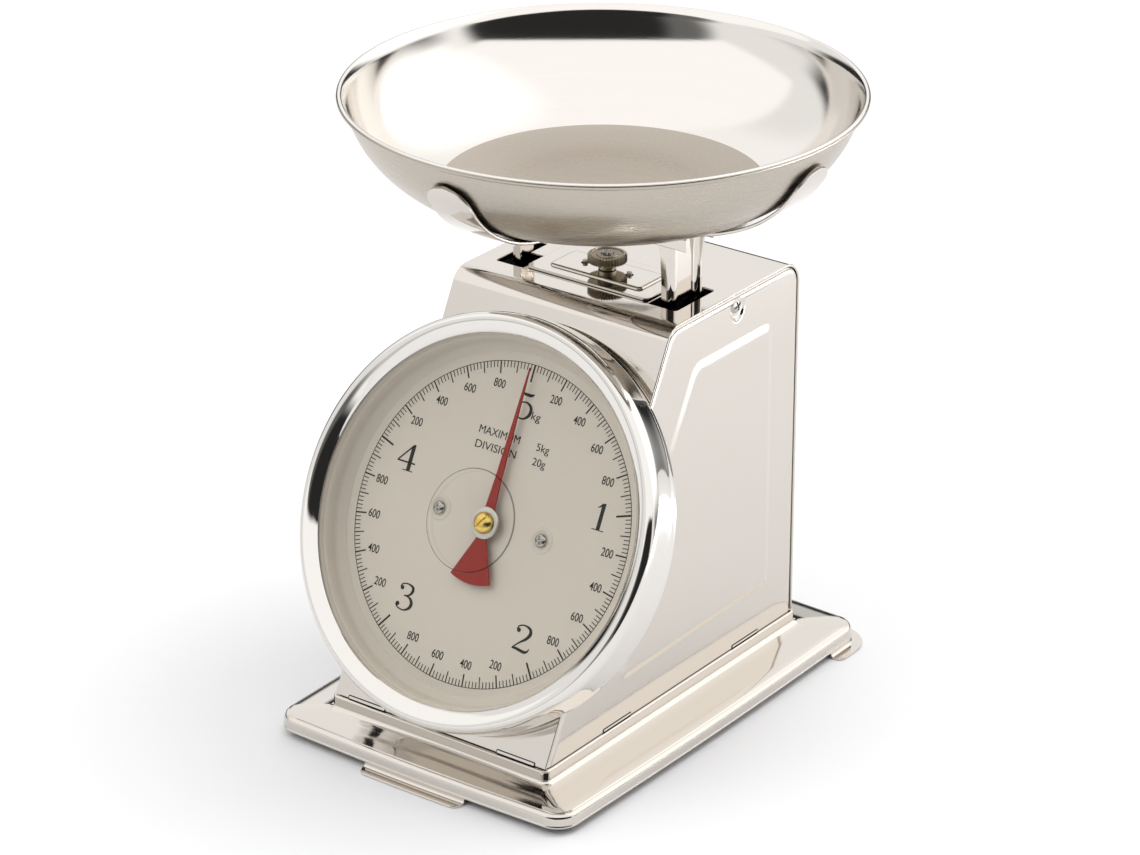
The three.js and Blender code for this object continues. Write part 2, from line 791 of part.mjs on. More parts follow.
function lever() {
  const length = LEVER_LENGTH;
  const { half } = LEVER_ARM;
  const outline = rounded([[-length - 5, -half, 3.5], [5, -half, 3.5], [5, half, 3.5], [-length - 5, half, 3.5]], 2);
  const arms = SIDES.map(([, side]) => {
    const xs = [side * LEVER_ARM.inner, side * LEVER_ARM.outer].sort((a, b) => a - b);
    return prism("x", outline, ...xs);
  });
  const web = block(-LEVER_ARM.inner - 0.5, LEVER_ARM.inner + 0.5, -24, -9, -0.75, 0.75);
  const pivot = rod("x", LEVER_PIN_RADIUS + GAP, -60, 60, 0, 0);
  const play = 1.2;
  const eye = CARRIER_PIN_RADIUS + 0.35;
  const slotEnds = [-length - play, -length + play].map((y) => rod("x", eye, -60, 60, y, 0));
  const slotMiddle = block(-60, 60, -length - play, -length + play, -eye, eye);
  return cut(join(...arms, web), pivot, ...slotEnds, slotMiddle);
}

for (const [name, z] of [
  ["upper", LEVER_HIGH_PIVOT],
  ["lower", LEVER_LOW_PIVOT],
]) {
  const mesh = add(`${name}_lever`, lever(), ZINC);
  mesh.position.set(0, LEVER_BACK_Y, z);
  mesh.rotation.x = -LEVER_SWING;
}

// ---------------------------------------------------------------- yoke and carrier
const POST_FRONT = BOWL_Y - POST_HALF;
const POST_BACK = BOWL_Y + POST_HALF;
const POST_SHEET = 1.3;
const POST_FLANGE = 4.5;

const POST_TAB = { x: 27, half: 7, sheet: 1.3 };
const BEAM_SHEET = 1.2;
const RIVET_RADIUS = 1.6;
const POST_RIVET_X = 33;
const SEAT_RIVET_X = 6;
const CROSSBAR_SCREW_Z = 65;
const BAR_SCREW_X = 40.2;

const mirrored = (side, a, b) => [side * a, side * b].sort((p, q) => p - q);

// An [x, z] outline of the right side, on either side, in counter-clockwise order.
function sided(side, outline) {
  const points = outline.map(([x, z]) => [side * x, z]);
  return side < 0 ? points.reverse() : points;
}

function post(side) {
  const inner = POST_X - POST_SHEET;
  const top = BEAM_TOP - BEAM_SHEET - GAP;
  const web = block(...mirrored(side, inner, POST_X), POST_FRONT, POST_BACK, POST_BOTTOM, top);
  const tab = block(
    ...mirrored(side, POST_TAB.x, POST_X - 0.5),
    BOWL_Y - POST_TAB.half,
    BOWL_Y + POST_TAB.half,
    top - POST_TAB.sheet,
    top,
  );
  const flangeTop = top - 2.5;
  const edge = inner - POST_FLANGE;
  const frontFlange = sided(side, [
    [edge, POST_BOTTOM],
    [POST_X - 0.5, POST_BOTTOM],
    [POST_X - 0.5, flangeTop],
    [edge - 6, flangeTop],
    [edge - 3, flangeTop - 5],
    [edge - 1, flangeTop - 12],
    [edge, flangeTop - 20],
  ]);
  const ear = sided(side, [
    [POST_X - 0.5, BODY_TOP + 3],
    [POST_X + 0.8, BODY_TOP + 6],
    [POST_X + 3.6, BODY_TOP + 24],
    [POST_X + 4.2, flangeTop],
    [POST_X - 0.5, flangeTop],
  ]);
  const front = prism("y", frontFlange, POST_FRONT, POST_FRONT + POST_SHEET);
  const back = prism("y", ear, POST_BACK - POST_SHEET, POST_BACK);
  const pins = [LEVER_HIGH_Z, LEVER_LOW_Z].map((z) =>
    rod("x", CARRIER_PIN_RADIUS + GAP, -60, 60, BOWL_Y, z, 12),
  );
  const bores = [
    ...pins,
    rod("x", CARRIER_PIN_RADIUS + GAP, -60, 60, ZERO_Y - 3, CROSSBAR_SCREW_Z, 12),
    rod("y", CARRIER_PIN_RADIUS + GAP, 0, 10, side * BAR_SCREW_X, RACK_PIN_Z, 12),
    rod("z", RIVET_RADIUS + GAP, BODY_TOP + 20, RIM_TOP, side * POST_RIVET_X, BOWL_Y, 12),
  ];
  return cut(join(web, tab, front, back), ...bores);
}

function beam() {
  const front = BOWL_Y - BEAM_HALF_Y;
  const back = BOWL_Y + BEAM_HALF_Y;
  const outer = block(-BEAM_HALF_X, BEAM_HALF_X, front, back, BEAM_TOP - BEAM_DEPTH, BEAM_TOP);
  const inner = block(
    -BEAM_HALF_X - 1,
    BEAM_HALF_X + 1,
    front + BEAM_SHEET,
    back - BEAM_SHEET,
    BEAM_TOP - BEAM_DEPTH - 1,
    BEAM_TOP - BEAM_SHEET,
  );
  const rivets = [POST_RIVET_X, SEAT_RIVET_X].flatMap((x) => [-x, x]);
  const bores = rivets.map((x) =>
    rod("z", RIVET_RADIUS + GAP, BEAM_TOP - 5, BEAM_TOP + 5, x, BOWL_Y, 12),
  );
  return cut(outer, inner, ...bores);
}

// A rivet with its flat end at the top and its domed head below the last sheet.
function rivet(top, headTop) {
  return turned(
    [
      [0, top],
      [RIVET_RADIUS, top],
      [RIVET_RADIUS, headTop],
      [3, headTop],
      [2.7, headTop - 0.7],
      [1.6, headTop - 1.2],
      [0, headTop - 1.3],
    ],
    12,
  );
}

add("carrier_beam", beam(), MIRROR);
for (const [name, side] of SIDES) {
  add(`post_${name}`, post(side), MIRROR);
  const under = BEAM_TOP - BEAM_SHEET - GAP;
  const toPost = add(`post_rivet_${name}`, rivet(BEAM_TOP, under - POST_TAB.sheet - GAP), ZINC);
  toPost.position.set(side * POST_RIVET_X, BOWL_Y, 0);
  const toSeat = add(`seat_rivet_${name}`, rivet(BOWL_FLOOR - GAP, under), ZINC);
  toSeat.position.set(side * SEAT_RIVET_X, BOWL_Y, 0);
}

const CARRIER_X = POST_X - POST_SHEET - GAP;
const CROSSBAR_SHEET = 1.5;

// The bar between the feet of the posts: ends turned up, and two ears for the springs.
function crossbar() {
  const low = POST_BOTTOM;
  const sheet = CROSSBAR_SHEET;
  const bar = block(-CARRIER_X, CARRIER_X, POST_FRONT + 2, POST_BACK, low, low + sheet);
  const ends = SIDES.map(([, side]) =>
    block(...mirrored(side, CARRIER_X - sheet, CARRIER_X), POST_FRONT + 6, POST_BACK, low, low + 8),
  );
  const ears = SIDES.map(([, side]) =>
    block(
      ...mirrored(side, SPRING_X - 4, SPRING_X + 4),
      ZERO_Y - sheet / 2,
      ZERO_Y + sheet / 2,
      low,
      low + 5,
    ),
  );
  const bore = rod("x", CARRIER_PIN_RADIUS + GAP, -60, 60, ZERO_Y - 3, CROSSBAR_SCREW_Z, 12);
  return cut(join(bar, ...ends, ...ears), bore);
}

// The bar that carries the rack's pin across the front of the posts.
function rackBar() {
  const back = POST_FRONT - GAP;
  const bar = block(-CARRIER_X, CARRIER_X, back - 1.5, back, RACK_PIN_Z - 5, RACK_PIN_Z + 5);
  const bores = SIDES.map(([, side]) =>
    rod("y", CARRIER_PIN_RADIUS + GAP, 0, 10, side * BAR_SCREW_X, RACK_PIN_Z, 12),
  );
  return cut(bar, ...bores);
}

add("carrier_crossbar", crossbar(), ZINC);
add("rack_bar", rackBar(), ZINC);
for (const [name, side] of SIDES) {
  const toCrossbar = add(`crossbar_screw_${name}`, screw(2.8, 1.2, CARRIER_PIN_RADIUS, 5), ZINC);
  toCrossbar.position.set(side * (POST_X + GAP), ZERO_Y - 3, CROSSBAR_SCREW_Z);
  toCrossbar.rotation.y = (side * Math.PI) / 2;
  const toBar = add(`rack_bar_screw_${name}`, screw(2.8, 1.2, CARRIER_PIN_RADIUS, 4.5), ZINC);
  toBar.position.set(side * BAR_SCREW_X, POST_FRONT - 2 * GAP - 1.5, RACK_PIN_Z);
  toBar.rotation.x = Math.PI / 2;
}
add(
  "rack_pin",
  rod("y", RACK_PIN_RADIUS, -37, POST_FRONT - GAP - 1.5 - GAP, RACK_PIN_X, RACK_PIN_Z),
  SPRING_STEEL,
);
for (const [level, z] of [
  ["upper", LEVER_HIGH_Z],
  ["lower", LEVER_LOW_Z],
]) {
  for (const [name, side] of SIDES) {
    const pin = add(
      `carrier_pin_${level}_${name}`,
      screw(3, 1.3, CARRIER_PIN_RADIUS, POST_X - LEVER_ARM.inner + 2),
      SPRING_STEEL,
    );
    pin.position.set(side * (POST_X + GAP), BOWL_Y, z);
    pin.rotation.y = (side * Math.PI) / 2;
  }
}

// ---------------------------------------------------------------- bowl and its seat
// The bowl's outer side view above the floor, as a curve from the floor's edge to the rim.
const bowlCurve = new THREE.CubicBezierCurve(
  new THREE.Vector2(BOWL_FLOOR_RADIUS, BOWL_FLOOR),
  new THREE.Vector2(BOWL_FLOOR_RADIUS + 3, BOWL_FLOOR),
  new THREE.Vector2(RIM_RADIUS - RIM_WIDTH - 9.3, BOWL_FLOOR + 3.2),
  new THREE.Vector2(RIM_RADIUS - RIM_WIDTH, RIM_TOP - 1),
);

// A point of the curve, moved out square to it.
function offsetCurve(t, distance) {
  const point = bowlCurve.getPoint(t);
  const along = bowlCurve.getTangent(t);
  return [point.x + along.y * distance, point.y - along.x * distance];
}

function bowl() {
  const steps = 6;
  const outer = [];
  const inner = [];
  for (let i = 0; i <= steps; i += 1) {
    outer.push(offsetCurve(i / steps, 0));
    inner.push(offsetCurve(i / steps, -BOWL_SHEET));
  }
  const rim = [
    [RIM_RADIUS, RIM_TOP - 1],
    [RIM_RADIUS, RIM_TOP],
    [RIM_RADIUS - RIM_WIDTH - 0.5, RIM_TOP],
  ];
  const profile = [[0, BOWL_FLOOR], ...outer, ...rim, ...inner.reverse(), [0, BOWL_FLOOR + BOWL_SHEET]];
  return turned(profile, 40).translate(0, BOWL_Y, 0);
}

add("bowl", bowl(), SATIN);

// One strip of the cross, from tip to tip along X, a given distance under the bowl's floor.
function crossStrip(floorGap) {
  const steps = 8;
  const upper = [];
  const lower = [];
  for (let i = 0; i <= steps; i += 1) {
    const t = (ARM_END * i) / steps;
    const along = Math.sin((Math.PI / 2) * Math.min(1, (1.6 * i) / steps)) ** 2;
    const gap = floorGap + (ARM_TIP_GAP - floorGap) * along;
    upper.push(offsetCurve(t, gap));
    lower.push(offsetCurve(t, gap + ARM_SHEET));
  }
  const right = [...lower, ...upper.toReversed()];
  const left = right.map(([x, z]) => [-x, z]).reverse();
  const strip = prism("y", [...right, ...left], -ARM_HALF, ARM_HALF);
  // Round tips: the strip is kept inside a long plate with half-round ends.
  const reach = lower.at(-1)[0];
  const half = ARM_HALF + 0.1;
  const ends = [
    [-reach, -half, ARM_HALF],
    [reach, -half, ARM_HALF],
    [reach, half, ARM_HALF],
    [-reach, half, ARM_HALF],
  ];
  return common(strip, prism("z", rounded(ends, 5), BODY_TOP, RIM_TOP));
}

function crossArm(floorGap, quarterTurns) {
  const strip = crossStrip(floorGap).rotateZ((quarterTurns * Math.PI) / 2);
  const bores = SIDES.map(([, side]) =>
    rod("z", RIVET_RADIUS + GAP, BEAM_TOP, BOWL_FLOOR, side * SEAT_RIVET_X, 0, 12),
  );
  return cut(strip, ...bores).translate(0, BOWL_Y, 0);
}

add("cross_arm_y", crossArm(GAP, 1), MIRROR);
add("cross_arm_x", crossArm(2 * GAP + ARM_SHEET, 0), MIRROR);

// ---------------------------------------------------------------- zero setting and springs
const BRIDGE = { halfX: 33, halfY: 15.9, raisedX: 25, raisedY: 10, top: BODY_TOP + 2.3 };

function springBridge() {
  const low = BODY_TOP + GAP;
  const base = block(-BRIDGE.halfX, BRIDGE.halfX, -BRIDGE.halfY, BRIDGE.halfY, low, low + 0.9);
  const raised = block(-BRIDGE.raisedX, BRIDGE.raisedX, -BRIDGE.raisedY, BRIDGE.raisedY, low, BRIDGE.top);
  const hollow = block(
    -BRIDGE.raisedX + SHEET,
    BRIDGE.raisedX - SHEET,
    -BRIDGE.raisedY + SHEET,
    BRIDGE.raisedY - SHEET,
    low - 1,
    BRIDGE.top - SHEET,
  );
  const bores = [-SPRING_X, 0, SPRING_X].map((x) => rod("z", x ? 1.9 : 3, low - 5, low + 9, x, 0));
  return cut(join(base, raised), hollow, ...bores).translate(0, ZERO_Y, 0);
}

add("spring_bridge", springBridge(), MIRROR);

const HANGER = { low: 183.4, high: 186, halfX: 17, halfY: 4.5 };
const PRONG_TOP = BODY_TOP + 3.6;

function springHanger() {
  const bar = block(-HANGER.halfX, HANGER.halfX, -HANGER.halfY, HANGER.halfY, HANGER.low, HANGER.high);
  const prongs = SIDES.map(([, side]) =>
    rod("z", 1.2, HANGER.low + 1, PRONG_TOP, side * SPRING_X, 0, 12),
  );
  const bore = rod("z", ROD_RADIUS + GAP, 170, 200, 0, 0);
  return cut(join(bar, ...prongs), bore).translate(0, ZERO_Y, 0);
}

add("spring_hanger", springHanger(), ZINC);

function zeroRod() {
  return turned(
    [
      [0, KNOB_TOP + 0.8],
      [ROD_RADIUS - 0.5, KNOB_TOP + 0.8],
      [ROD_RADIUS, KNOB_TOP + 0.3],
      [ROD_RADIUS, HANGER.low - GAP],
      [4.5, HANGER.low - GAP],
      [4.5, HANGER.low - 3],
      [0, HANGER.low - 3],
    ],
    16,
  ).translate(0, ZERO_Y, 0);
}

add("zero_rod", zeroRod(), SPRING_STEEL);

function zeroKnob() {
  const ridges = 36;
  const outline = [];
  for (let i = 0; i < 2 * ridges; i += 1) {
    const angle = (i * Math.PI) / ridges;
    const r = i % 2 ? KNOB_RADIUS - 0.45 : KNOB_RADIUS;
    outline.push([r * Math.cos(angle), r * Math.sin(angle)]);
  }
  const head = prism("z", outline, KNOB_BOTTOM, KNOB_TOP);
  const hub = rod("z", 4.2, BRIDGE.top + GAP, KNOB_BOTTOM + 1, 0, 0, 20);
  const bore = rod("z", ROD_RADIUS + 0.25, BODY_TOP, RIM_TOP, 0, 0);
  return cut(join(head, hub), bore).translate(0, ZERO_Y, 0);
}

add("zero_knob", zeroKnob(), NICKEL);

// A close-wound helix from one height to another, of round wire drawn as five sides.
class Helix extends THREE.Curve {
  constructor(radius, low, high, turns) {
    super();
    Object.assign(this, { radius, low, high, turns });
  }

  getPoint(t, target = new THREE.Vector3()) {
    const angle = 2 * Math.PI * this.turns * t;
    const z = this.low + (this.high - this.low) * t;
    return target.set(this.radius * Math.cos(angle), this.radius * Math.sin(angle), z);
  }
}

const SPRING = { wire: 0.75, coil: 5.2, turns: 9, stepsPerTurn: 8 };
const SPRING_LOW = POST_BOTTOM + 5 + 2;
const SPRING_HIGH = HANGER.low - 2;

function spring(x) {
  const sides = 5;
  const wire = [];
  for (let i = 0; i < sides; i += 1) {
    const angle = (2 * Math.PI * i) / sides;
    wire.push(new THREE.Vector2(SPRING.wire * Math.cos(angle), SPRING.wire * Math.sin(angle)));
  }
  const geometry = new THREE.ExtrudeGeometry(new THREE.Shape(wire), {
    steps: SPRING.turns * SPRING.stepsPerTurn,
    extrudePath: new Helix(SPRING.coil, SPRING_LOW, SPRING_HIGH, SPRING.turns),
    bevelEnabled: false,
  });
  return geometry.translate(x, ZERO_Y, 0);
}

for (const [name, side] of SIDES) {
  add(`spring_${name}`, spring(side * SPRING_X), SPRING_STEEL);
}

export default scale;
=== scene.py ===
import json
import math

import bmesh
import bpy
import numpy as np
from mathutils import Matrix, Vector
from mathutils.geometry import tessellate_polygon


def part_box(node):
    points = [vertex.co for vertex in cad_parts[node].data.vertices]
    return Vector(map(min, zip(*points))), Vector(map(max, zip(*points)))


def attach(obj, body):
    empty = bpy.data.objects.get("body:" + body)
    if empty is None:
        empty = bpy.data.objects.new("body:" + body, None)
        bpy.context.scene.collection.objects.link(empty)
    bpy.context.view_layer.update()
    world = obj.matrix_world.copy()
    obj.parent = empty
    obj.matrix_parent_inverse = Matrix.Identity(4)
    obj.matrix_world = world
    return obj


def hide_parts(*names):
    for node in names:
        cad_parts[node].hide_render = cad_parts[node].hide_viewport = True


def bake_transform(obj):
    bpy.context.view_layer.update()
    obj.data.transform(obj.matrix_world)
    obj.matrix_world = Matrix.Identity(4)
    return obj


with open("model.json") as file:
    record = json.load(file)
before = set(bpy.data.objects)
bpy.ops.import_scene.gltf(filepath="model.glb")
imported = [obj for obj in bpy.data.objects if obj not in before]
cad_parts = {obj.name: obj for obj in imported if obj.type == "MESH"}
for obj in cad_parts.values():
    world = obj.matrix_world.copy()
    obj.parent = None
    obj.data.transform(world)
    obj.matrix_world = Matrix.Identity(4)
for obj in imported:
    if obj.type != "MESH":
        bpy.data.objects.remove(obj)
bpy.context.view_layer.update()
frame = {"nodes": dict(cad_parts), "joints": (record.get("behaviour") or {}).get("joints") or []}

MM = 0.001
AIR = 0.3  # between pieces that touch, as in the frame
ALMOST_0 = 0.0001  # the radius of a turned profile's ends, on its axis
SIDES = (("left", -1), ("right", 1))

# ---- places, from the frame (mm)
joints = {joint["name"]: joint for joint in frame["joints"]}


def corners(node):
    """The lowest and highest corner of a CAD node, in mm."""
    low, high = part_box(node)
    return low / MM, high / MM


tray_high = corners("base_tray")[1]
shell_low, shell_high = corners("body_shell")
bowl_low, bowl_high = corners("bowl")
beam_low, beam_high = corners("carrier_beam")
post_low, post_high = corners("post_right")
bridge_low, bridge_high = corners("spring_bridge")
knob_low, knob_high = corners("zero_knob")
rod_low, rod_high = corners("zero_rod")
hanger_low = corners("spring_hanger")[0]
spring_low, spring_high = corners("spring_right")
screw_low, screw_high = corners("side_screw_right")

PLATEAU_TOP = tray_high.z
BODY_BOTTOM = shell_low.z
BODY_TOP = shell_high.z
BODY_HALF = shell_high.x
BACK_Y = shell_high.y
FRONT_Y = shell_low.y
RIM_TOP = bowl_high.z
RIM_RADIUS = bowl_high.x
BOWL_FLOOR = bowl_low.z
BOWL_Y = (bowl_low.y + bowl_high.y) / 2
ZERO_Y = (knob_low.y + knob_high.y) / 2
DIAL = Vector(joints["pointer_spin"]["pos_m"]) / MM
OUT = -Vector(joints["pointer_spin"]["axis"]).normalized()
RIGHT = Vector((1, 0, 0))
UP = OUT.cross(RIGHT)
TILT = math.atan2(UP.y, UP.z)

# The dial's own frame: x to the right, y up the slanted front, z out of the dial.
TO_DIAL = Matrix.Translation(DIAL) @ Matrix((RIGHT, UP, OUT)).transposed().to_4x4()

# ---- sizes (mm) that several pieces share
SHEET = 1.2
DIAL_LEVEL = 5.5
LENS_LEVEL = 17.6
TICK_RADIUS = 71.5

# ---- materials
METAL_CLOUD = 14  # these three are how fine a noise is: its features per metre, roughly
PAINT_CLOUD = 25
PAINT_PEEL = 1600
LENS_IOR = 1.11


def new_material(name):
    material = bpy.data.materials.new(name)
    material.use_nodes = True
    tree = material.node_tree
    return material, tree, tree.nodes["Principled BSDF"]


def feed(tree, target, inputs):
    """Fills a node's inputs, given by name or number: a socket is linked, a value is set."""
    for key, value in inputs.items():
        if isinstance(value, bpy.types.NodeSocket):
            tree.links.new(value, target.inputs[key])
        else:
            target.inputs[key].default_value = value


def add_node(tree, kind, inputs, output=0, **settings):
    """Adds a shader node, fills its inputs and returns one of its outputs."""
    made = tree.nodes.new("ShaderNode" + kind)
    for key, value in settings.items():
        setattr(made, key, value)
    feed(tree, made, inputs)
    return made.outputs[output]


def maths(tree, operation, first, second):
    return add_node(tree, "Math", {0: first, 1: second}, operation=operation)


def place_of(tree):
    return add_node(tree, "TexCoord", {}, "Object")


def noise(tree, scale, detail=4.0, roughness=0.5, vector=None):
    inputs = {"Vector": vector or place_of(tree), "Scale": scale, "Detail": detail, "Roughness": roughness}
    return add_node(tree, "TexNoise", inputs, "Fac")


def spread(tree, value, low, high, start=0.3, end=0.7):
    """Maps a value between start and end onto a range from low to high."""
    inputs = {"Value": value, "From Min": start, "From Max": end, "To Min": low, "To Max": high}
    return add_node(tree, "MapRange", inputs, "Result")


def mixed(tree, value, first, second):
    return add_node(tree, "Mix", {0: value, 6: (*first, 1), 7: (*second, 1)}, 2, data_type="RGBA")


def bumped(tree, value, distance):
    inputs = {"Strength": 1, "Distance": distance * MM, "Height": value}
    return add_node(tree, "Bump", inputs, "Normal")


def metal(name, colour, rough, shade=0.04, grain=900, bump=0.002):
    """A metal with a slightly uneven tone, and a fine grain in its gloss and in a faint bump."""
    material, tree, shader = new_material(name)
    dark = tuple(c * (1 - shade) for c in colour)
    light = tuple(min(1, c * (1 + shade)) for c in colour)
    tone = mixed(tree, noise(tree, METAL_CLOUD), dark, light)
    fine = noise(tree, grain, 3)
    gloss = spread(tree, fine, *rough)
    normal = bumped(tree, fine, bump)
    feed(tree, shader, {"Metallic": 1, "Base Color": tone, "Roughness": gloss, "Normal": normal})
    return material


def brushed_bowl(name, colour, rough, lines):
    """Steel brushed round the bowl's axis: streaks that run round and change quickly with height."""
    material, tree, shader = new_material(name)
    shift = {0: place_of(tree), 1: (0, -BOWL_Y * MM, 0)}
    here = add_node(tree, "VectorMath", shift, operation="ADD")
    x, y, z = add_node(tree, "SeparateXYZ", {0: here}).node.outputs
    reach = add_node(tree, "VectorMath", {0: here}, "Value", operation="LENGTH")
    turn = maths(tree, "ARCTAN2", y, x)
    rows = {"X": turn, "Y": maths(tree, "MULTIPLY", reach, lines), "Z": maths(tree, "MULTIPLY", z, lines)}
    streak = noise(tree, 1.0, 5, 0.6, add_node(tree, "CombineXYZ", rows))
    tone = mixed(tree, streak, tuple(c * 0.94 for c in colour), colour)
    gloss = spread(tree, streak, *rough)
    normal = bumped(tree, streak, 0.006)
    feed(tree, shader, {"Metallic": 1, "Anisotropic": 0.5})
    feed(tree, shader, {"Base Color": tone, "Roughness": gloss, "Normal": normal})
    return material


def painted(name, colour, rough, bump=0.01, shade=0.03):
    """A paint with a faint cloud in its colour, and an orange peel in its gloss and bump."""
    material, tree, shader = new_material(name)
    dark = tuple(c * (1 - shade) for c in colour)
    tone = mixed(tree, noise(tree, PAINT_CLOUD), dark, colour)
    peel = noise(tree, PAINT_PEEL, 2)
    gloss = spread(tree, peel, *rough)
    feed(tree, shader, {"Base Color": tone, "Roughness": gloss, "Normal": bumped(tree, peel, bump)})
    return material


def clear_lens(name, clear=0.985):
    """A clear moulding: see-through, with a Fresnel reflection and a trace of haze."""
    material, tree, shader = new_material(name)
    tree.nodes.remove(shader)
    through = add_node(tree, "BsdfTransparent", {"Color": (clear, clear, clear * 0.99, 1)})
    # The faces seen from inside the plastic don't mirror, so that no light is shut in.
    outside = maths(tree, "SUBTRACT", 1, add_node(tree, "NewGeometry", {}, "Backfacing"))
    share = maths(tree, "MULTIPLY", add_node(tree, "Fresnel", {"IOR": LENS_IOR}), outside)
    haze = spread(tree, noise(tree, 40, 3), 0.02, 0.05)
    shine = add_node(tree, "BsdfGlossy", {"Roughness": haze})
    surface = add_node(tree, "MixShader", {0: share, 1: through, 2: shine})
    feed(tree, tree.nodes["Material Output"], {"Surface": surface})
    return material


MIRROR = metal("polished_steel", (0.66, 0.62, 0.57), (0.045, 0.09), 0.02, 500, 0.0006)
CHROME = metal("bright_chrome", (0.86, 0.84, 0.81), (0.02, 0.05), 0.01, 400, 0.0003)
BEZEL_CHROME = metal("bezel_chrome", (0.74, 0.715, 0.68), (0.03, 0.06), 0.01, 400, 0.0003)
ZINC = metal("zinc_plate", (0.56, 0.55, 0.51), (0.32, 0.48), 0.08)
SPRING = metal("spring_steel", (0.42, 0.41, 0.40), (0.25, 0.38), 0.08)
BRASS = metal("turned_brass", (0.72, 0.52, 0.16), (0.16, 0.30), 0.10)
NICKEL = metal("dull_nickel", (0.43, 0.37, 0.28), (0.28, 0.45), 0.10)
# The bowl's outside is a darker copy of its inside steel: painted shade on the side that faces out and
# down.
BOWL_OUT_SHADED = brushed_bowl("bowl_brushed_shaded", (0.50, 0.455, 0.395), (0.22, 0.34), 2600)
BOWL_IN = brushed_bowl("bowl_polished", (0.80, 0.765, 0.72), (0.07, 0.12), 2600)
# The floor inside the bowl is a darker copy of the steel too: painted shade, as a disc in the middle.
BOWL_FLOOR_SHADE = brushed_bowl("bowl_floor_brushed_shaded", (0.47, 0.42, 0.36), (0.2, 0.3), 2000)
DIAL_PAINT = painted("dial_paint", (0.603, 0.550, 0.485), (0.42, 0.55), 0.004)
INK = painted("dial_ink", (0.008, 0.007, 0.006), (0.45, 0.6))
RED = painted("pointer_red", (0.26, 0.008, 0.002), (0.28, 0.42), 0.006)
LENS = clear_lens("lens")
SCREW_STEEL = metal("screw_steel", (0.42, 0.40, 0.375), (0.14, 0.26), 0.12)
# A grey copy of the lens that lets less than half the light through: painted shade for the dark line that
# refraction draws at the moulded circle's side wall.
LENS_EDGE_SHADE = clear_lens("lens_edge_shade", 0.42)
# Black for the slots round the tray's tabs: painted shadow.
SLOT_SHADOW = painted("gap_shadow", (0.01, 0.01, 0.01), (0.7, 0.9))
FLOOR = painted("floor_card", (0.80, 0.80, 0.81), (0.6, 0.7), 0.02, 0.005)


# ---- mesh helpers
def object_of(name, mesh, material):
    thing = bpy.data.objects.new(name, mesh)
    bpy.context.scene.collection.objects.link(thing)
    mesh.materials.clear()
    mesh.materials.append(material)
    return thing


def mesh_of(name, points, faces):
    """A mesh from points in mm, with its faces turned outwards."""
    mesh = bpy.data.meshes.new(name)
    mesh.from_pydata([Vector(p) * MM for p in points], [], faces)
    edit = bmesh.new()
    edit.from_mesh(mesh)
    bmesh.ops.remove_doubles(edit, verts=edit.verts, dist=1e-7)
    bmesh.ops.recalc_face_normals(edit, faces=edit.faces)
    edit.to_mesh(mesh)
    edit.free()
    return mesh


def loft(rings, closed=True, caps=True):
    """Points and faces of rings joined in order. Closed rings go all the way round."""
    count = len(rings[0])
    faces = []
    for r in range(len(rings) - 1):
        for i in range(count if closed else count - 1):
            j = (i + 1) % count
            faces.append((r * count + i, r * count + j, (r + 1) * count + j, (r + 1) * count + i))
    if caps:
        faces.append(tuple(range(count)))
        faces.append(tuple(range((len(rings) - 1) * count, len(rings) * count)))
    return [p for ring in rings for p in ring], faces


def polar(radius, angle):
    return radius * math.cos(angle), radius * math.sin(angle)


def quarter(steps):
    """A round edge of radius 1 as (drop, gap): how far it has come down, and has yet to go out."""
    turn = [math.pi / 2 * s / steps for s in range(steps + 1)]
    return [(1 - math.cos(a), 1 - math.sin(a)) for a in turn]


def circle(x, y, radius, steps):
    turn = [2 * math.pi * i / steps for i in range(steps)]
    return [(x + radius * math.cos(a), y + radius * math.sin(a)) for a in turn]


def oblong(u0, v0, u1, v1):
    """The corners of a rectangle between its lowest and highest corner."""
    return [(u0, v0), (u1, v0), (u1, v1), (u0, v1)]


def turned(profile, steps=160, closed=True):
    """Points and faces of a profile of (radius, height) turned about z."""
    rings = [[(x, y, z) for x, y in circle(0, 0, r, steps)] for r, z in profile]
    if closed:
        rings.append(rings[0])
    return loft(rings, caps=False)


def prism(outline, axis, low, high):
    """Points and faces of an outline pushed along x (outline in y, z), y (x, z) or z (x, y)."""
    place = {
        "x": lambda u, v, w: (w, u, v),
        "y": lambda u, v, w: (u, w, v),
        "z": lambda u, v, w: (u, v, w),
    }[axis]
    return loft([[place(u, v, w) for u, v in outline] for w in (low, high)])


def rounded(points, closed=True, steps=8):
    """A path with its (u, v, radius) corners made into arcs."""
    out = []
    count = len(points)
    for i, (u, v, radius) in enumerate(points):
        here = Vector((u, v))
        ends = not closed and i in (0, count - 1)
        if not radius or ends:
            out.append((u, v))
            continue
        back = (Vector(points[i - 1][:2]) - here).normalized()
        on = (Vector(points[(i + 1) % count][:2]) - here).normalized()
        half = math.acos(max(-1, min(1, back.dot(on)))) / 2
        centre = here + (back + on).normalized() * (radius / math.sin(half))
        start = here + back * (radius / math.tan(half)) - centre
        end = here + on * (radius / math.tan(half)) - centre
        sweep = math.atan2(start.x * end.y - start.y * end.x, start.dot(end))
        for s in range(steps + 1):
            a = sweep * s / steps
            c, n = polar(1, a)
            out.append(tuple(centre + Vector((c * start.x - n * start.y, n * start.x + c * start.y))))
    return out


def thick(path, sheet):
    """A closed outline: an open path of (u, v) points given a sheet's thickness on its left."""
    other = []
    for i, p in enumerate(path):
        before = Vector(path[max(i - 1, 0)])
        after = Vector(path[min(i + 1, len(path) - 1)])
        here = Vector(p)
        first = (here - before).normalized() if i else (after - here).normalized()
        second = (after - here).normalized() if i < len(path) - 1 else first
        along = (first + second).normalized()
        grow = sheet / max(0.3, along.dot(first))
        other.append((p[0] - along.y * grow, p[1] + along.x * grow))
    return list(path) + other[::-1]


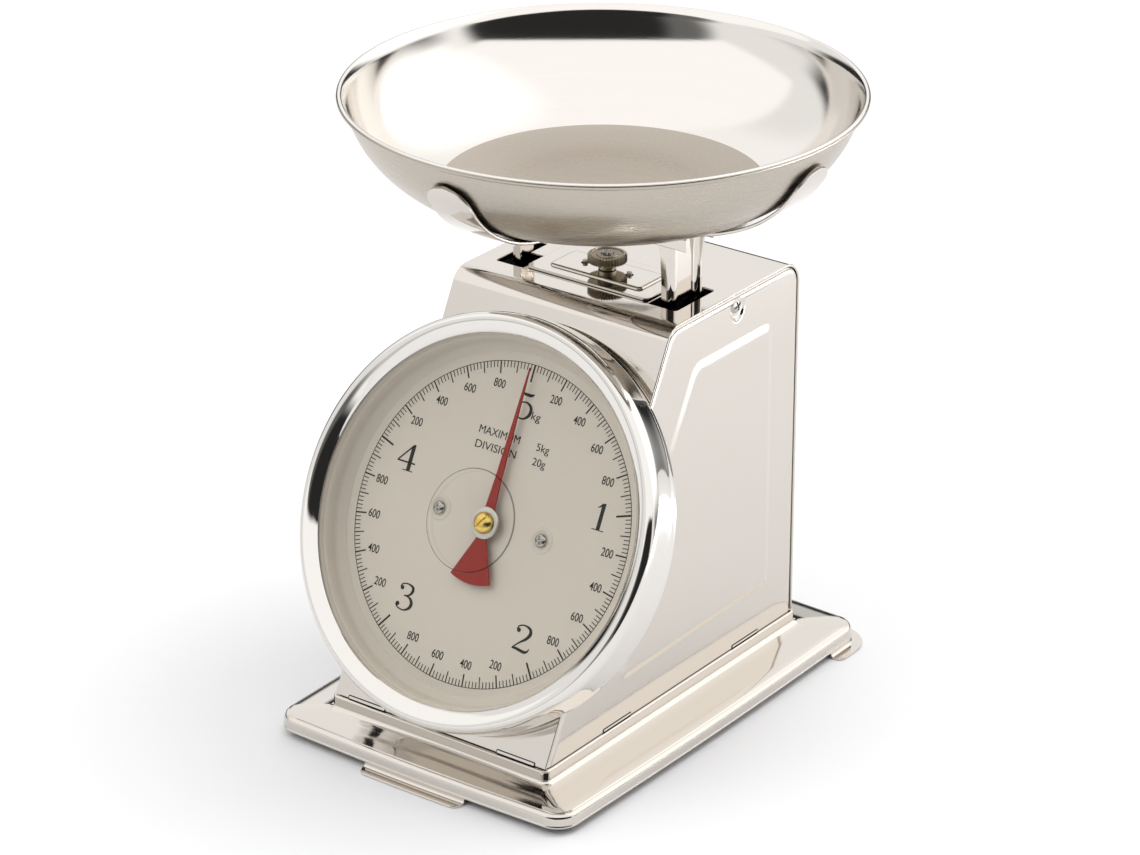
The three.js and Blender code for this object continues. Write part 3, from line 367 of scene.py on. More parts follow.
def applied(thing):
    """Applies an object's modifiers to its mesh."""
    bpy.context.view_layer.update()
    graph = bpy.context.evaluated_depsgraph_get()
    mesh = bpy.data.meshes.new_from_object(thing.evaluated_get(graph))
    thing.modifiers.clear()
    thing.data = mesh
    return thing


def cut(thing, *cutters):
    """Cuts solids given as (points, faces) in mm out of an object."""
    material = thing.data.materials[0]
    for points, faces in cutters:
        tool = object_of("cutter", mesh_of("cutter", points, faces), material)
        step = thing.modifiers.new("cut", "BOOLEAN")
        step.operation = "DIFFERENCE"
        step.solver = "EXACT"
        step.object = tool
        applied(thing)
        bpy.data.objects.remove(tool)
    thing.data.materials.clear()
    thing.data.materials.append(material)
    return thing


def solid(name, shape, material):
    return object_of(name, mesh_of(name, *shape), material)


def bevelled(thing, width, segments=3, angle=35):
    step = thing.modifiers.new("bevel", "BEVEL")
    step.width = width * MM
    step.segments = segments
    step.limit_method = "ANGLE"
    step.angle_limit = math.radians(angle)
    step.use_clamp_overlap = True
    return applied(thing)


def placed(thing, matrix):
    """Moves an object's mesh by a matrix whose lengths are in mm."""
    shift = matrix.copy()
    shift.translation = matrix.translation * MM
    thing.data.transform(shift)
    return thing


def finished(thing, body, slot, *nodes, sharp=38, weighted=True):
    """Shades a piece smooth between its sharp edges, sets it on its body and hides the CAD nodes it stands
    for; the slot is not used.
    """
    mesh = thing.data
    mesh.polygons.foreach_set("use_smooth", [True] * len(mesh.polygons))
    mesh.set_sharp_from_angle(angle=math.radians(sharp))
    mesh.update()
    if weighted:
        step = thing.modifiers.new("weighted_normals", "WEIGHTED_NORMAL")
        step.keep_sharp = True
        step.weight = 80
    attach(thing, body)
    if nodes:
        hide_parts(*nodes)
    return thing


def joined(name, things, material):
    """Several objects as one mesh."""
    edit = bmesh.new()
    for thing in things:
        edit.from_mesh(thing.data)
        bpy.data.objects.remove(thing)
    mesh = bpy.data.meshes.new(name)
    edit.to_mesh(mesh)
    edit.free()
    return object_of(name, mesh, material)


def curve_points(points, steps):
    """A smooth path (Catmull-Rom) through points of any dimension."""
    padded = [points[0], *points, points[-1]]
    out = []
    for i in range(len(points) - 1):
        a, b, c, d = (np.array(p, float) for p in padded[i : i + 4])
        for s in range(steps):
            t = s / steps
            out.append(
                0.5 * (2 * b + (c - a) * t + (2 * a - 5 * b + 4 * c - d) * t**2)
                + 0.5 * (3 * b - a - 3 * c + d) * t**3
            )
    out.append(np.array(points[-1], float))
    return out


# ---- base tray
TRAY_HALF = 80
TRAY_FRONT = -122.3
TRAY_BACK = 108.2
TRAY_CORNER = 11
TRAY_BOW = 1.4
LIP_BOTTOM = 3.3
LIP_TOP = 9.8
PLATEAU_FOOT = 13.3
PLATEAU_MARGIN = 1.4
PLATEAU_CORNER = 3.2
FOOT_CORNER = 4.0


def tray_outline(half, front, back, corner, bow, inset=0.0, arc=12, side=16):
    """A rectangle with round corners and bowed sides, drawn in by an inset, as (x, y) points."""
    middle = (front + back) / 2
    depth = (back - front) / 2
    ring = []
    centres = ((1, -1, -90), (1, 1, 0), (-1, 1, 90), (-1, -1, 180))
    for k, (sx, sy, start) in enumerate(centres):
        cx = sx * (half - corner)
        cy = middle + sy * (depth - corner)
        r = max(corner - inset, 0.05)
        for s in range(arc + 1):
            a = math.radians(start + 90 * s / arc)
            ring.append((cx + r * math.cos(a), cy + r * math.sin(a)))
        nx, ny, _ = centres[(k + 1) % 4]
        ex, ey = nx * (half - corner), middle + ny * (depth - corner)
        a = math.radians(start + 90)
        for s in range(1, side):
            f = s / side
            out = r + bow * math.sin(math.pi * f)
            px = cx + (ex - cx) * f + out * math.cos(a)
            py = cy + (ey - cy) * f + out * math.sin(a)
            ring.append((px, py))
    return ring


def lip_outline(inset):
    return tray_outline(TRAY_HALF, TRAY_FRONT, TRAY_BACK, TRAY_CORNER, TRAY_BOW, inset)


def tray_ring(share, z, inset=0.0):
    """One level of the tray: from the plateau's outline (share 0) to the lip's (share 1)."""
    half, front, back = BODY_HALF + PLATEAU_MARGIN, FRONT_Y - PLATEAU_MARGIN, BACK_Y + PLATEAU_MARGIN
    plateau = tray_outline(half, front, back, PLATEAU_CORNER, 0, inset)
    return [
        (a[0] + (b[0] - a[0]) * share, a[1] + (b[1] - a[1]) * share, z)
        for a, b in zip(plateau, lip_outline(inset))
    ]


def tray_section(inset):
    """The tray's side view as (share, z, inset), from the plateau's edge to the lip's bottom."""
    out = [(0.0, PLATEAU_TOP - 0.8 * drop, inset + 0.8 * gap) for drop, gap in quarter(5)]
    out.append((0.0, PLATEAU_FOOT + 1.6, inset))
    for s in range(1, 5):
        out.append((0.012 * s * s / 4, PLATEAU_FOOT + 1.6 - 1.25 * s / 4, inset))
    for share in (0.1, 0.3, 0.5, 0.7, 0.86):
        out.append((share, PLATEAU_FOOT + (LIP_TOP - PLATEAU_FOOT) * share, inset))
    out += [(1.0, LIP_TOP - 2.6 * drop, inset + 2.2 * gap) for drop, gap in quarter(8)]
    out.append((1.0, LIP_BOTTOM + 1.9, inset))
    for s in range(7):
        a = math.pi * s / 6
        out.append((1.0, LIP_BOTTOM + 1.4 - 1.4 * s / 6, inset - 0.35 * math.sin(a)))
    return out


def tray():
    outer = [tray_ring(share, z, inset) for share, z, inset in tray_section(0)]
    inner = [tray_ring(share, z - SHEET * (1 - share), inset) for share, z, inset in tray_section(SHEET)]
    inner[0] = [(x, y, PLATEAU_TOP - SHEET) for x, y, _ in inner[0]]
    return solid("tray_shell", loft(outer + inner[::-1]), MIRROR)


def foot(name, ring, total, start, length, reach):
    """A foot turned out along a stretch of the lip: a short wall, a bend and a flat flange."""
    sides = list(zip(*ring, ring[0]))

    def at(distance):
        return Vector([np.interp(distance % total[-1], total, side) for side in sides])

    steps = 64
    top = LIP_BOTTOM + 3
    rows = []
    for s in range(steps + 1):
        f = s / steps
        here = at(start + length * f)
        ahead = (at(start + length * f + 0.6) - at(start + length * f - 0.6)).normalized()
        out = Vector((ahead.y, -ahead.x))
        short = max(0, FOOT_CORNER - min(f, 1 - f) * length)
        width = reach - (FOOT_CORNER - math.sqrt(max(0, FOOT_CORNER**2 - short**2)))
        path = [(-0.2, top)]
        path += [(-0.2 + 1.6 * drop, 1.0 + 1.6 * gap) for drop, gap in quarter(6)]
        path += [(width * 0.6 + 0.8, 1.0), (width, 1.0)]
        under = [(width + 0.25, 0.5), (width, 0.0), (1.2, 0.0)]
        under += [(-0.1, 0.5), (-1.0, 1.6), (-1.2, 2.6), (-1.2, top)]
        rows.append([(*(here + out * d), z) for d, z in path + under])
    return solid(name, loft(rows), MIRROR)


def base_tray():
    ring = lip_outline(AIR)
    total = [0.0]
    for i, p in enumerate(ring):
        total.append(total[-1] + math.dist(p, ring[(i + 1) % len(ring)]))

    def along(x, y):
        """How far along the ring its point closest to (x, y) lies."""
        return total[min(range(len(ring)), key=lambda i: math.dist(ring[i], (x, y)))]

    pieces = [tray()]
    for name, start, length, reach in (
        ("foot_front", along(0, TRAY_FRONT) - 27.5, 55, 5.2),
        ("foot_right", along(TRAY_HALF, 90), 36, 5.4),
        ("foot_left", along(-60, TRAY_BACK), 36, 5.4),
    ):
        pieces.append(foot(name, ring, total, start, length, reach))
    finished(joined("tray", pieces, MIRROR), "housing", "polished_steel", "base_tray", sharp=50)


base_tray()


# ---- body
TOP_FRONT_RADIUS = 10
TOP_BACK_RADIUS = 11
DISC_HOLE = 46  # radius of the hole behind the dial
TOP_SLOT = [(33.8, 1, 1.2), (48.7, 1, 1.2), (48.7, 30, 1.2), (42, 30, 1.2), (42, 17, 0.8), (33.8, 17, 1.2)]


def front_y(z):
    return FRONT_Y + (z - BODY_BOTTOM) * math.tan(TILT)


def body_outline(inset, bottom):
    lean = inset / math.cos(TILT)
    top = BODY_TOP - inset
    path = [(front_y(bottom) + lean, bottom, 0), (BACK_Y - inset, bottom, 0)]
    path += [(BACK_Y - inset, top, TOP_BACK_RADIUS - inset)]
    path += [(front_y(top) + lean, top, TOP_FRONT_RADIUS - inset)]
    return rounded(path, steps=12)


def top_slot(side):
    outline = rounded([(side * x, y, r) for x, y, r in TOP_SLOT], steps=4)
    return prism(outline, "z", BODY_TOP - 5, BODY_TOP + 5)


def body_shell():
    outer = body_outline(0, BODY_BOTTOM)
    inner = body_outline(SHEET, BODY_BOTTOM)
    # The sheet as one bent strip: out along the outside, back along the inside.
    # The outline starts at the front's foot and goes round by the bottom, so it is turned.
    outer = outer[1:] + outer[:1]
    inner = inner[1:] + inner[:1]
    shell = solid("wrap", prism(outer + inner[::-1], "x", -BODY_HALF, BODY_HALF), MIRROR)
    hole = prism(oblong(-18, ZERO_Y - 6, 18, ZERO_Y + 6), "z", BODY_TOP - 5, BODY_TOP + 5)
    points, faces = prism(circle(0, 0, DISC_HOLE, 96), "z", -8, 8)
    disc = ([TO_DIAL @ Vector(p) for p in points], faces)
    cut(shell, top_slot(-1), top_slot(1), hole, disc)
    bevelled(shell, 0.45, 3, 40)
    finished(shell, "housing", "polished_steel", "body_shell", sharp=60)


body_shell()

# ---- tabs in slots along the body's foot
SIDE_TABS = (-53.5, 44.8)
FRONT_TABS = (-40.3, 42.0)
TAB_LENGTH = 20


def tray_tabs():
    """The tray's spring tabs along the body's foot, each a steel end on a bigger black piece that is
    painted shadow of the slot it comes through.
    """
    middle = PLATEAU_TOP + 1.0
    # The black pieces are painted shadow of the slots; the steel ends are the tabs.
    for name, material, longer, high, out in (
        ("tab_slot_shadows", SLOT_SHADOW, 0.5, 1.6, 0.1),
        ("tab_ends", MIRROR, 0, 0.95, 0.3),
    ):
        half = TAB_LENGTH / 2 + longer
        pieces = []
        for place in SIDE_TABS + FRONT_TABS:
            box = oblong(place - half, middle - high / 2, place + half, middle + high / 2)
            outline = rounded([(u, v, high * 0.45) for u, v in box], steps=6)
            if place in SIDE_TABS:
                for _, side in SIDES:
                    ends = sorted((side * (BODY_HALF - 0.4), side * (BODY_HALF + out)))
                    pieces.append(solid(name, prism(outline, "x", *ends), material))
            else:
                points, faces = prism(outline, "y", -out, 0.4)
                points = [(x, y + front_y(z), z) for x, y, z in points]
                pieces.append(solid(name, (points, faces), material))
        finished(joined(name, pieces, material), "housing", "polished_steel")


tray_tabs()

# ---- side panels
SIDE_SHEET = 1.0
PANEL_INSET = SHEET + AIR
PANEL_DEPTH = 5
PANEL_ROLL = 3.0
SCREW_Y = (screw_low.y + screw_high.y) / 2
SCREW_Z = (screw_low.z + screw_high.z) / 2
SCREW_DROP = 0.9  # of the screw and its dimple, under the CAD screw's middle
SCREW_HOLE = 1.9
DIMPLE_TOP = 3.7
DIMPLE_HANG = 0.45
CROSS_TURN = 0.35  # radians, of a screw's cross
EMBOSS = [(-54.8, 38.2, 5), (63.2, 41.4, 5), (62.4, 172.0, 7), (1.6, 172.0, 10), (-17.4, 137.4, 12)]


class Shape:
    """Points and faces gathered ring by ring."""

    def __init__(self):
        self.points = []
        self.faces = []

    def ring(self, points):
        start = len(self.points)
        self.points += points
        return list(range(start, len(self.points)))

    def bridge(self, rings):
        for a, b in zip(rings, rings[1:]):
            for i in range(len(a)):
                j = (i + 1) % len(a)
                self.faces.append((a[i], a[j], b[j], b[i]))

    def fill(self, *rings):
        flat = [i for ring in rings for i in ring]
        loops = [[Vector(self.points[i]) for i in ring] for ring in rings]
        self.faces += [tuple(flat[k] for k in face) for face in tessellate_polygon(loops)]

    def made(self):
        return self.points, self.faces


def drawn_in(points, distance):
    """The corners (u, v, radius) of a convex outline, listed anticlockwise, moved in."""
    out = []
    count = len(points)
    for i in range(count):
        a, b, c = (Vector(points[k % count][:2]) for k in (i - 1, i, i + 1))
        first, second = (b - a).normalized(), (c - b).normalized()
        n1, n2 = Vector((-first.y, first.x)), Vector((-second.y, second.x))
        move = (n1 + n2) / (1 + n1.dot(n2)) * distance
        out.append((b.x + move.x, b.y + move.y, max(0.4, points[i][2] - distance)))
    return out


def side_panel(name, side):
    face = side * BODY_HALF
    shape = Shape()

    def outline(inset, depth):
        return [(face - side * depth, y, z) for y, z in body_outline(inset, BODY_BOTTOM + 0.001)]

    def drop(radius, depth, steps=48):
        """A ring round the screw that hangs down further than it reaches up."""
        ring = []
        for i in range(steps):
            a = 2 * math.pi * i / steps
            if math.sin(a) < 0:
                tall = radius + DIMPLE_HANG * (radius - SCREW_HOLE)
            else:
                tall = min(radius, DIMPLE_TOP)
            y, z = radius * math.cos(a), tall * math.sin(a)
            ring.append((face - side * depth, SCREW_Y + y, SCREW_Z - SCREW_DROP + z))
        return ring

    def emboss(inset, height):
        path = rounded(drawn_in(EMBOSS, inset), steps=10)
        return [(face + side * height, y, z) for y, z in path]

    roll = [(PANEL_INSET, PANEL_DEPTH)]
    roll += [(PANEL_INSET + PANEL_ROLL * drop, 1.1 * gap) for drop, gap in quarter(9)]
    outside = [shape.ring(outline(inset, depth)) for inset, depth in roll]
    slope = [(0, 0), (0.7, 0.04), (1.5, 0.16), (3.1, 0.54), (3.9, 0.66), (4.6, 0.7)]
    raised = [shape.ring(emboss(inset, height)) for inset, height in slope]
    dimple = [(6.3, 0), (5.95, 0.05), (5.5, 0.22), (4.85, 0.8), (4.55, 0.97), (4.2, 1.0)]
    dimple.append((SCREW_HOLE, 1.0))
    pressed = [shape.ring(drop(radius, depth)) for radius, depth in dimple]
    back = [(SCREW_HOLE, 2.8), (4.6, 2.8), (5.0, 1.1)]
    under = [shape.ring(drop(radius, depth)) for radius, depth in back]
    inside = [shape.ring(outline(PANEL_INSET + SIDE_SHEET, depth)) for depth in (1.1, PANEL_DEPTH)]
    shape.bridge(outside)
    shape.fill(outside[-1], raised[0], pressed[0])
    shape.bridge(raised)
    shape.fill(raised[-1])
    shape.bridge(pressed + under)
    shape.fill(inside[0], under[-1])
    shape.bridge(inside + [outside[0]])
    panel = solid(f"panel_{name}", shape.made(), MIRROR)
    finished(panel, "housing", "polished_steel", f"side_panel_{name}", sharp=50)


def cross_screw(name, radius, height, recess):
    """A domed screw head with a cross recess, standing on z = 0."""
    dome = [(ALMOST_0, height)]
    dome += [(radius * (1 - gap), height * (1 - 0.75 * drop)) for drop, gap in quarter(8)[1:]]
    dome += [(radius, 0.0), (ALMOST_0, 0.0)]
    head = solid(name, turned(dome, 48, closed=False), SCREW_STEEL)
    arms = []
    for turn in (CROSS_TURN, CROSS_TURN + math.pi / 2):
        c, s = polar(1, turn)
        bar = oblong(-recess, -recess * 0.2, recess, recess * 0.2)
        flat = [(x * c - y * s, x * s + y * c) for x, y in bar]
        arms.append(prism(flat, "z", height * 0.45, height + 1))
    cut(head, *arms)
    return bevelled(head, 0.12, 2, 40)


for side_name, side in SIDES:
    side_panel(side_name, side)
    head = cross_screw(f"panel_screw_{side_name}", 3.8, 1.9, 2.4)
    turn = Matrix.Rotation(side * math.pi / 2, 4, "Y")
    spot = Matrix.Translation((side * (BODY_HALF - 1.75), SCREW_Y, SCREW_Z - SCREW_DROP))
    placed(head, spot @ turn)
    finished(head, "housing", "chrome", f"side_screw_{side_name}")

# ---- dial unit
BEZEL_CURVE = [(90.6, 0.7), (90.6, 2.6), (90.75, 3.5), (91.25, 4.1), (91.8, 5.0), (91.8, 9.0)]
BEZEL_CURVE += [(91.8, 15.4), (91.7, 17.6), (91.2, 19.6), (90.3, 21.1), (88.9, 21.85), (87.3, 21.8)]
BEZEL_CURVE += [(85.7, 21.25), (84.2, 20.45), (82.9, 19.65), (82.1, 18.9)]
LENS_SIDE = (22.4, 22.75)  # radii between which the moulded circle's side wall lies
DIAL_SCREW_X = 27.8


def bezel():
    outer = [tuple(p) for p in curve_points(BEZEL_CURVE, 5)]
    inner = [(82.6, 18.7), (84.0, 19.3), (85.9, 20.2), (88.4, 20.6), (89.8, 19.6), (90.5, 17.6)]
    inner += [(90.7, 14), (90.7, 5), (89.6, 3.6), (89.5, 0.7)]
    ring = solid("bezel", turned(outer + inner, 240), BEZEL_CHROME)
    placed(ring, TO_DIAL)
    finished(ring, "housing", "chrome", "bezel_ring", sharp=60)


def dish():
    wall = [(2.4, DIAL_LEVEL), (74.0, DIAL_LEVEL), (75.6, 5.6), (77.2, 6.0), (78.7, 7.0)]
    wall += [(79.8, 8.6), (80.5, 10.6), (81.0, 13), (81.5, 15.6), (82.1, 16.8), (83.2, 17.25), (86.5, 17.3)]
    under = [(86.5, 16.3), (82.2, 16.2), (80.2, 14), (79.6, 10.4), (78.6, 8)]
    under += [(76, 6.6), (75, 4.5), (2.4, 4.5)]
    plate = solid("dial_dish", turned(wall + under, 240), DIAL_PAINT)
    placed(plate, TO_DIAL)
    finished(plate, "housing", "dial_paint", "dial_plate", sharp=50)


def lens():
    top = LENS_LEVEL + 1.4
    front = [(86.5, LENS_LEVEL), (86.5, top), (23.4, top), (23.0, top + 0.12), (22.8, top + 0.45)]
    front += [(22.8, 20.9), (22.65, 21.3), (22.3, 21.5), (ALMOST_0, 21.5)]
    back = [(ALMOST_0, 20.1), (21.2, 20.1), (21.5, 19.8), (21.5, LENS_LEVEL)]
    clear = solid("dial_lens", turned(front + back, 200), LENS)
    clear.data.materials.append(LENS_EDGE_SHADE)
    # The moulded circle's side wall takes the grey copy: painted shade.
    for face in clear.data.polygons:
        reach = math.hypot(face.center.x, face.center.y) / MM
        if LENS_SIDE[0] < reach < LENS_SIDE[1]:
            face.material_index = 1
    placed(clear, TO_DIAL)
    finished(clear, "housing", "clear_lens", "dial_glass", sharp=30)


def dial_fixing(side_name, side):
    """A dial screw and the pressed ring round it."""
    head = cross_screw(f"dial_head_{side_name}", 2.9, 1.5, 1.9)
    placed(head, TO_DIAL @ Matrix.Translation((side * DIAL_SCREW_X, 0, DIAL_LEVEL + 0.55)))
    finished(head, "housing", "chrome", f"dial_screw_{side_name}")
    cup = [(2.4, 0.02), (3.6, 0.02), (4.1, 0.12), (4.6, 0.4), (5.0, 0.45), (5.5, 0.25), (5.9, 0.0)]
    cup += [(5.9, -0.3), (2.4, -0.3)]
    ring = solid(f"dial_dimple_{side_name}", turned(cup, 72), DIAL_PAINT)
    placed(ring, TO_DIAL @ Matrix.Translation((side * DIAL_SCREW_X, 0, DIAL_LEVEL + 0.02)))
    finished(ring, "housing", "dial_paint")


bezel()
dish()
lens()
for side_name, side in SIDES:
    dial_fixing(side_name, side)

# ---- dial print
PRINT_LOW = DIAL_LEVEL + 0.01
PRINT_HIGH = DIAL_LEVEL + 0.09
DOT_STEPS = 20


def stroke(points, steps=8):
    """A pen stroke through (x, y, half-width) points, as an outline."""
    path = curve_points(points, steps)
    left, right = [], []
    for i, (x, y, w) in enumerate(path):
        a = path[max(i - 1, 0)]
        b = path[min(i + 1, len(path) - 1)]
        along = Vector((b[0] - a[0], b[1] - a[1])).normalized()
        left.append((x - along.y * w, y + along.x * w))
        right.append((x + along.y * w, y - along.x * w))
    return left + right[::-1]


# Numerals on a field 12 high, centred on 0, 0. A stroke's third number is half its width.
NUMERALS = {
    "1": [
        [(-0.83, -5.6), (1.04, -5.6), (1.04, 6.0), (0.33, 6.0), (-0.83, 5.0)],
        stroke([(-2.75, 3.6, 0.16), (-1.54, 4.2, 0.33), (-0.22, 5.6, 0.44)]),
        oblong(-2.97, -6.0, 3.19, -5.6),
    ],
    "2": [
        circle(-3.2, 3.2, 1.0, DOT_STEPS),
        stroke([(-4.08, 3.2, 0.25), (-3.54, 4.9, 0.3), (-0.82, 5.8, 0.32), (2.31, 4.9, 0.64),
                (3.06, 2.7, 0.81), (1.5, 0.3, 0.64), (-1.36, -2.0, 0.37), (-4.08, -4.6, 0.28)]),
        stroke([(-4.35, -5.0, 0.3), (-2.72, -4.7, 0.57), (0.27, -5.1, 0.67), (2.58, -5.3, 0.64),
                (3.94, -4.5, 0.37), (4.35, -3.3, 0.16)]),
    ],
    "3": [
        circle(-3.12, 3.6, 0.95, DOT_STEPS),
        stroke([(-4.12, 3.7, 0.25), (-3.27, 5.2, 0.3), (-0.57, 5.8, 0.3), (2.27, 4.9, 0.61),
                (2.7, 3.0, 0.71), (1.28, 1.1, 0.4), (-1.28, 0.5, 0.2)]),
        stroke([(-1.28, 0.5, 0.2), (1.7, 0.2, 0.44), (3.55, -1.6, 0.78), (3.27, -4.0, 0.71),
                (0.57, -5.75, 0.33), (-2.7, -5.4, 0.3), (-4.4, -4.0, 0.25)]),
        circle(-3.41, -3.7, 1.0, DOT_STEPS),
    ],
    "4": [
        [(0.87, -5.6), (2.85, -5.6), (2.85, 6.0), (1.74, 6.0), (0.87, 5.0)],
        oblong(-1.12, -6.0, 4.46, -5.6),
        oblong(-4.96, -2.6, 4.84, -1.9),
        [(-4.96, -1.9), (-4.09, -1.9), (2.23, 5.5), (1.74, 6.0)],
    ],
    "5": [
        stroke([(-3.06, 5.3, 0.33), (-0.77, 4.9, 0.67), (1.79, 4.9, 0.67), (3.32, 5.7, 0.25)]),
        [(-3.32, 5.6), (-2.81, 5.6), (-3.19, 0.2), (-3.7, 0.2)],
        stroke([(-3.45, 0.2, 0.2), (-1.53, 1.3, 0.3), (1.02, 1.4, 0.47), (3.32, -0.3, 0.74),
                (3.45, -3.2, 0.78), (1.28, -5.5, 0.44), (-1.53, -5.7, 0.3), (-3.7, -4.4, 0.3)]),
        circle(-2.81, -4.0, 1.0, DOT_STEPS),
    ],
}
NUMERAL_PLACES = {
    "5": (0.6, 53.4),
    "1": (53.4, 17.6),
    "2": (32.4, -42.6),
    "3": (-32.1, -42.0),
    "4": (-51.5, 16.7),
}
TICKS = 250
# Of every so many ticks: the length and half the width.
TICK_SIZES = ((50, 7.6, 0.42), (10, 5.6, 0.32), (5, 5.0, 0.24), (1, 2.9, 0.19))
LABEL_RADIUS = 61.6
LETTERING = [("kg", 7.7, 49.7, 4.6, 4.8), ("MAXIMUM", -8.0, 38.4, 3.5, 22), ("5kg", 15.6, 37.4, 4.4, 6.8)]
LETTERING += [("DIVISION", -8.0, 31.8, 3.5, 22), ("20g", 15.6, 31.0, 4.4, 6.8)]


def printed(outlines):
    """Thin raised marks from outlines in the dial's plane."""
    points, faces = [], []
    for outline in outlines:
        more, new = prism(outline, "z", PRINT_LOW, PRINT_HIGH)
        faces += [tuple(i + len(points) for i in face) for face in new]
        points += more
    return points, faces


def tick_marks():
    marks = []
    for i in range(TICKS):
        length, half = next(size for every, *size in TICK_SIZES if i % every == 0)
        a = 2 * math.pi * i / TICKS
        out = Vector((math.sin(a), math.cos(a)))
        across = Vector((out.y, -out.x)) * half
        far, near = out * TICK_RADIUS, out * (TICK_RADIUS - length)
        marks.append([tuple(p) for p in (far - across, far + across, near + across, near - across)])
    return marks


def lettering(text, x, y, height, width):
    """A line of upright text as a mesh in the dial's plane, centred on (x, y), in mm."""
    curve = bpy.data.curves.new("lettering", "FONT")
    curve.body = text
    curve.offset = 0.005 if text.isdigit() else 0.0
    curve.resolution_u = 6
    thing = bpy.data.objects.new("lettering", curve)
    bpy.context.scene.collection.objects.link(thing)
    bpy.context.view_layer.update()
    graph = bpy.context.evaluated_depsgraph_get()
    mesh = bpy.data.meshes.new_from_object(thing.evaluated_get(graph))
    bpy.data.objects.remove(thing)
    edit = bmesh.new()
    edit.from_mesh(mesh)
    grown = bmesh.ops.extrude_face_region(edit, geom=edit.faces[:])
    lifted = [v for v in grown["geom"] if isinstance(v, bmesh.types.BMVert)]
    co = np.array([v.co for v in edit.verts])
    low, high = co.min(0), co.max(0)
    for v in edit.verts:
        v.co.x = (x + ((v.co.x - low[0]) / (high[0] - low[0]) - 0.5) * width) * MM
        v.co.y = (y + ((v.co.y - low[1]) / (high[1] - low[1]) - 0.5) * height) * MM
        v.co.z = PRINT_LOW * MM
    for v in lifted:
        v.co.z = PRINT_HIGH * MM
    bmesh.ops.recalc_face_normals(edit, faces=edit.faces)
    edit.to_mesh(mesh)
    edit.free()
    return object_of("lettering", mesh, INK)


def dial_print():
    outlines = tick_marks()
    for numeral, (x, y) in NUMERAL_PLACES.items():
        for outline in NUMERALS[numeral]:
            outlines.append([(x + u, y + v) for u, v in outline])
    line = oblong(TICK_RADIUS - 0.14, PRINT_LOW, TICK_RADIUS + 0.14, PRINT_HIGH)
    pieces = [solid("marks", printed(outlines), INK), solid("scale_circle", turned(line, 240), INK)]
    for kilo in range(5):
        for label in (200, 400, 600, 800):
            a = math.radians(72 * (kilo + label / 1000))
            x, y = LABEL_RADIUS * math.sin(a), LABEL_RADIUS * math.cos(a)
            pieces.append(lettering(str(label), x, y, 3.8, 6.0))
    pieces += [lettering(*line) for line in LETTERING]
    marks = joined("dial_print", pieces, INK)
    placed(marks, TO_DIAL)
    finished(marks, "housing", "dial_paint", weighted=False)


dial_print()

# ---- pointer
NEEDLE_LEVEL = 8.6
HUB_RADIUS = 6
TAIL_RADIUS = 27.4
TAIL_HALF = math.radians(23)


def needle():
    def on_hub(*degrees):
        return [polar(HUB_RADIUS, math.radians(d)) for d in degrees]

    outline = [(-0.28, 69.9), (0.28, 69.9), (1.75, 20), (2.5, 7)]
    outline += on_hub(35, 15, 0, -20, -40, -60, -70)
    outline += [polar(TAIL_RADIUS, -math.pi / 2 + TAIL_HALF * (1 - s / 4)) for s in range(9)]
    outline += on_hub(250, 240, 220, 200, 180, 165, 145)
    outline += [(-2.5, 7), (-1.75, 20)]
    blade = solid("needle", prism(outline, "z", NEEDLE_LEVEL, NEEDLE_LEVEL + 0.7), RED)
    bevelled(blade, 0.15, 2, 30)
    placed(blade, TO_DIAL)
    finished(blade, "pointer", "red_paint", "pointer")


def hub():
    washer = [(1.7, 9.5), (6.9, 9.5), (7.1, 9.7), (7.05, 10.1), (6.6, 10.45), (1.7, 10.5)]
    ring = solid("hub_plate", turned(washer, 72), ZINC)
    placed(ring, TO_DIAL)
    finished(ring, "pointer", "zinc_plate", "hub_washer")
    dome = [(ALMOST_0, 13.6), (1.6, 13.55), (3.0, 13.2), (4.1, 12.6), (4.7, 11.8), (4.9, 11.1)]
    dome += [(4.9, 10.8), (ALMOST_0, 10.8)]
    cap = solid("hub_cap", turned(dome, 64, closed=False), BRASS)
    cut(cap, prism(oblong(-0.45, -6, 0.45, 6), "z", 12.5, 15))
    bevelled(cap, 0.12, 2, 40)
    placed(cap, TO_DIAL @ Matrix.Rotation(math.radians(-35), 4, "Z"))
    finished(cap, "pointer", "brass", "hub_screw")


needle()
hub()

# ---- bowl
RIM_WIDTH = 2.7
FLOOR_RADIUS = 47
BOWL_SHEET = 1.0
SHADED_FLOOR_RADIUS = 72  # radius, inside, of the floor's painted shade


def bowl_point(t, distance=0.0):
    """A point (radius, z) of the bowl's outside, t from the floor's edge to the rim, moved out."""
    a = Vector((FLOOR_RADIUS, BOWL_FLOOR))
    b = Vector((FLOOR_RADIUS + 3, BOWL_FLOOR))
    c = Vector((RIM_RADIUS - RIM_WIDTH - 9.3, BOWL_FLOOR + 3.2))
    d = Vector((RIM_RADIUS - RIM_WIDTH, RIM_TOP - 1))
    s = 1 - t
    here = a * s**3 + b * 3 * s * s * t + c * 3 * s * t * t + d * t**3
    along = (b - a) * s * s + (c - b) * 2 * s * t + (d - c) * t * t
    along.normalize()
    return here.x + along.y * distance, here.y - along.x * distance


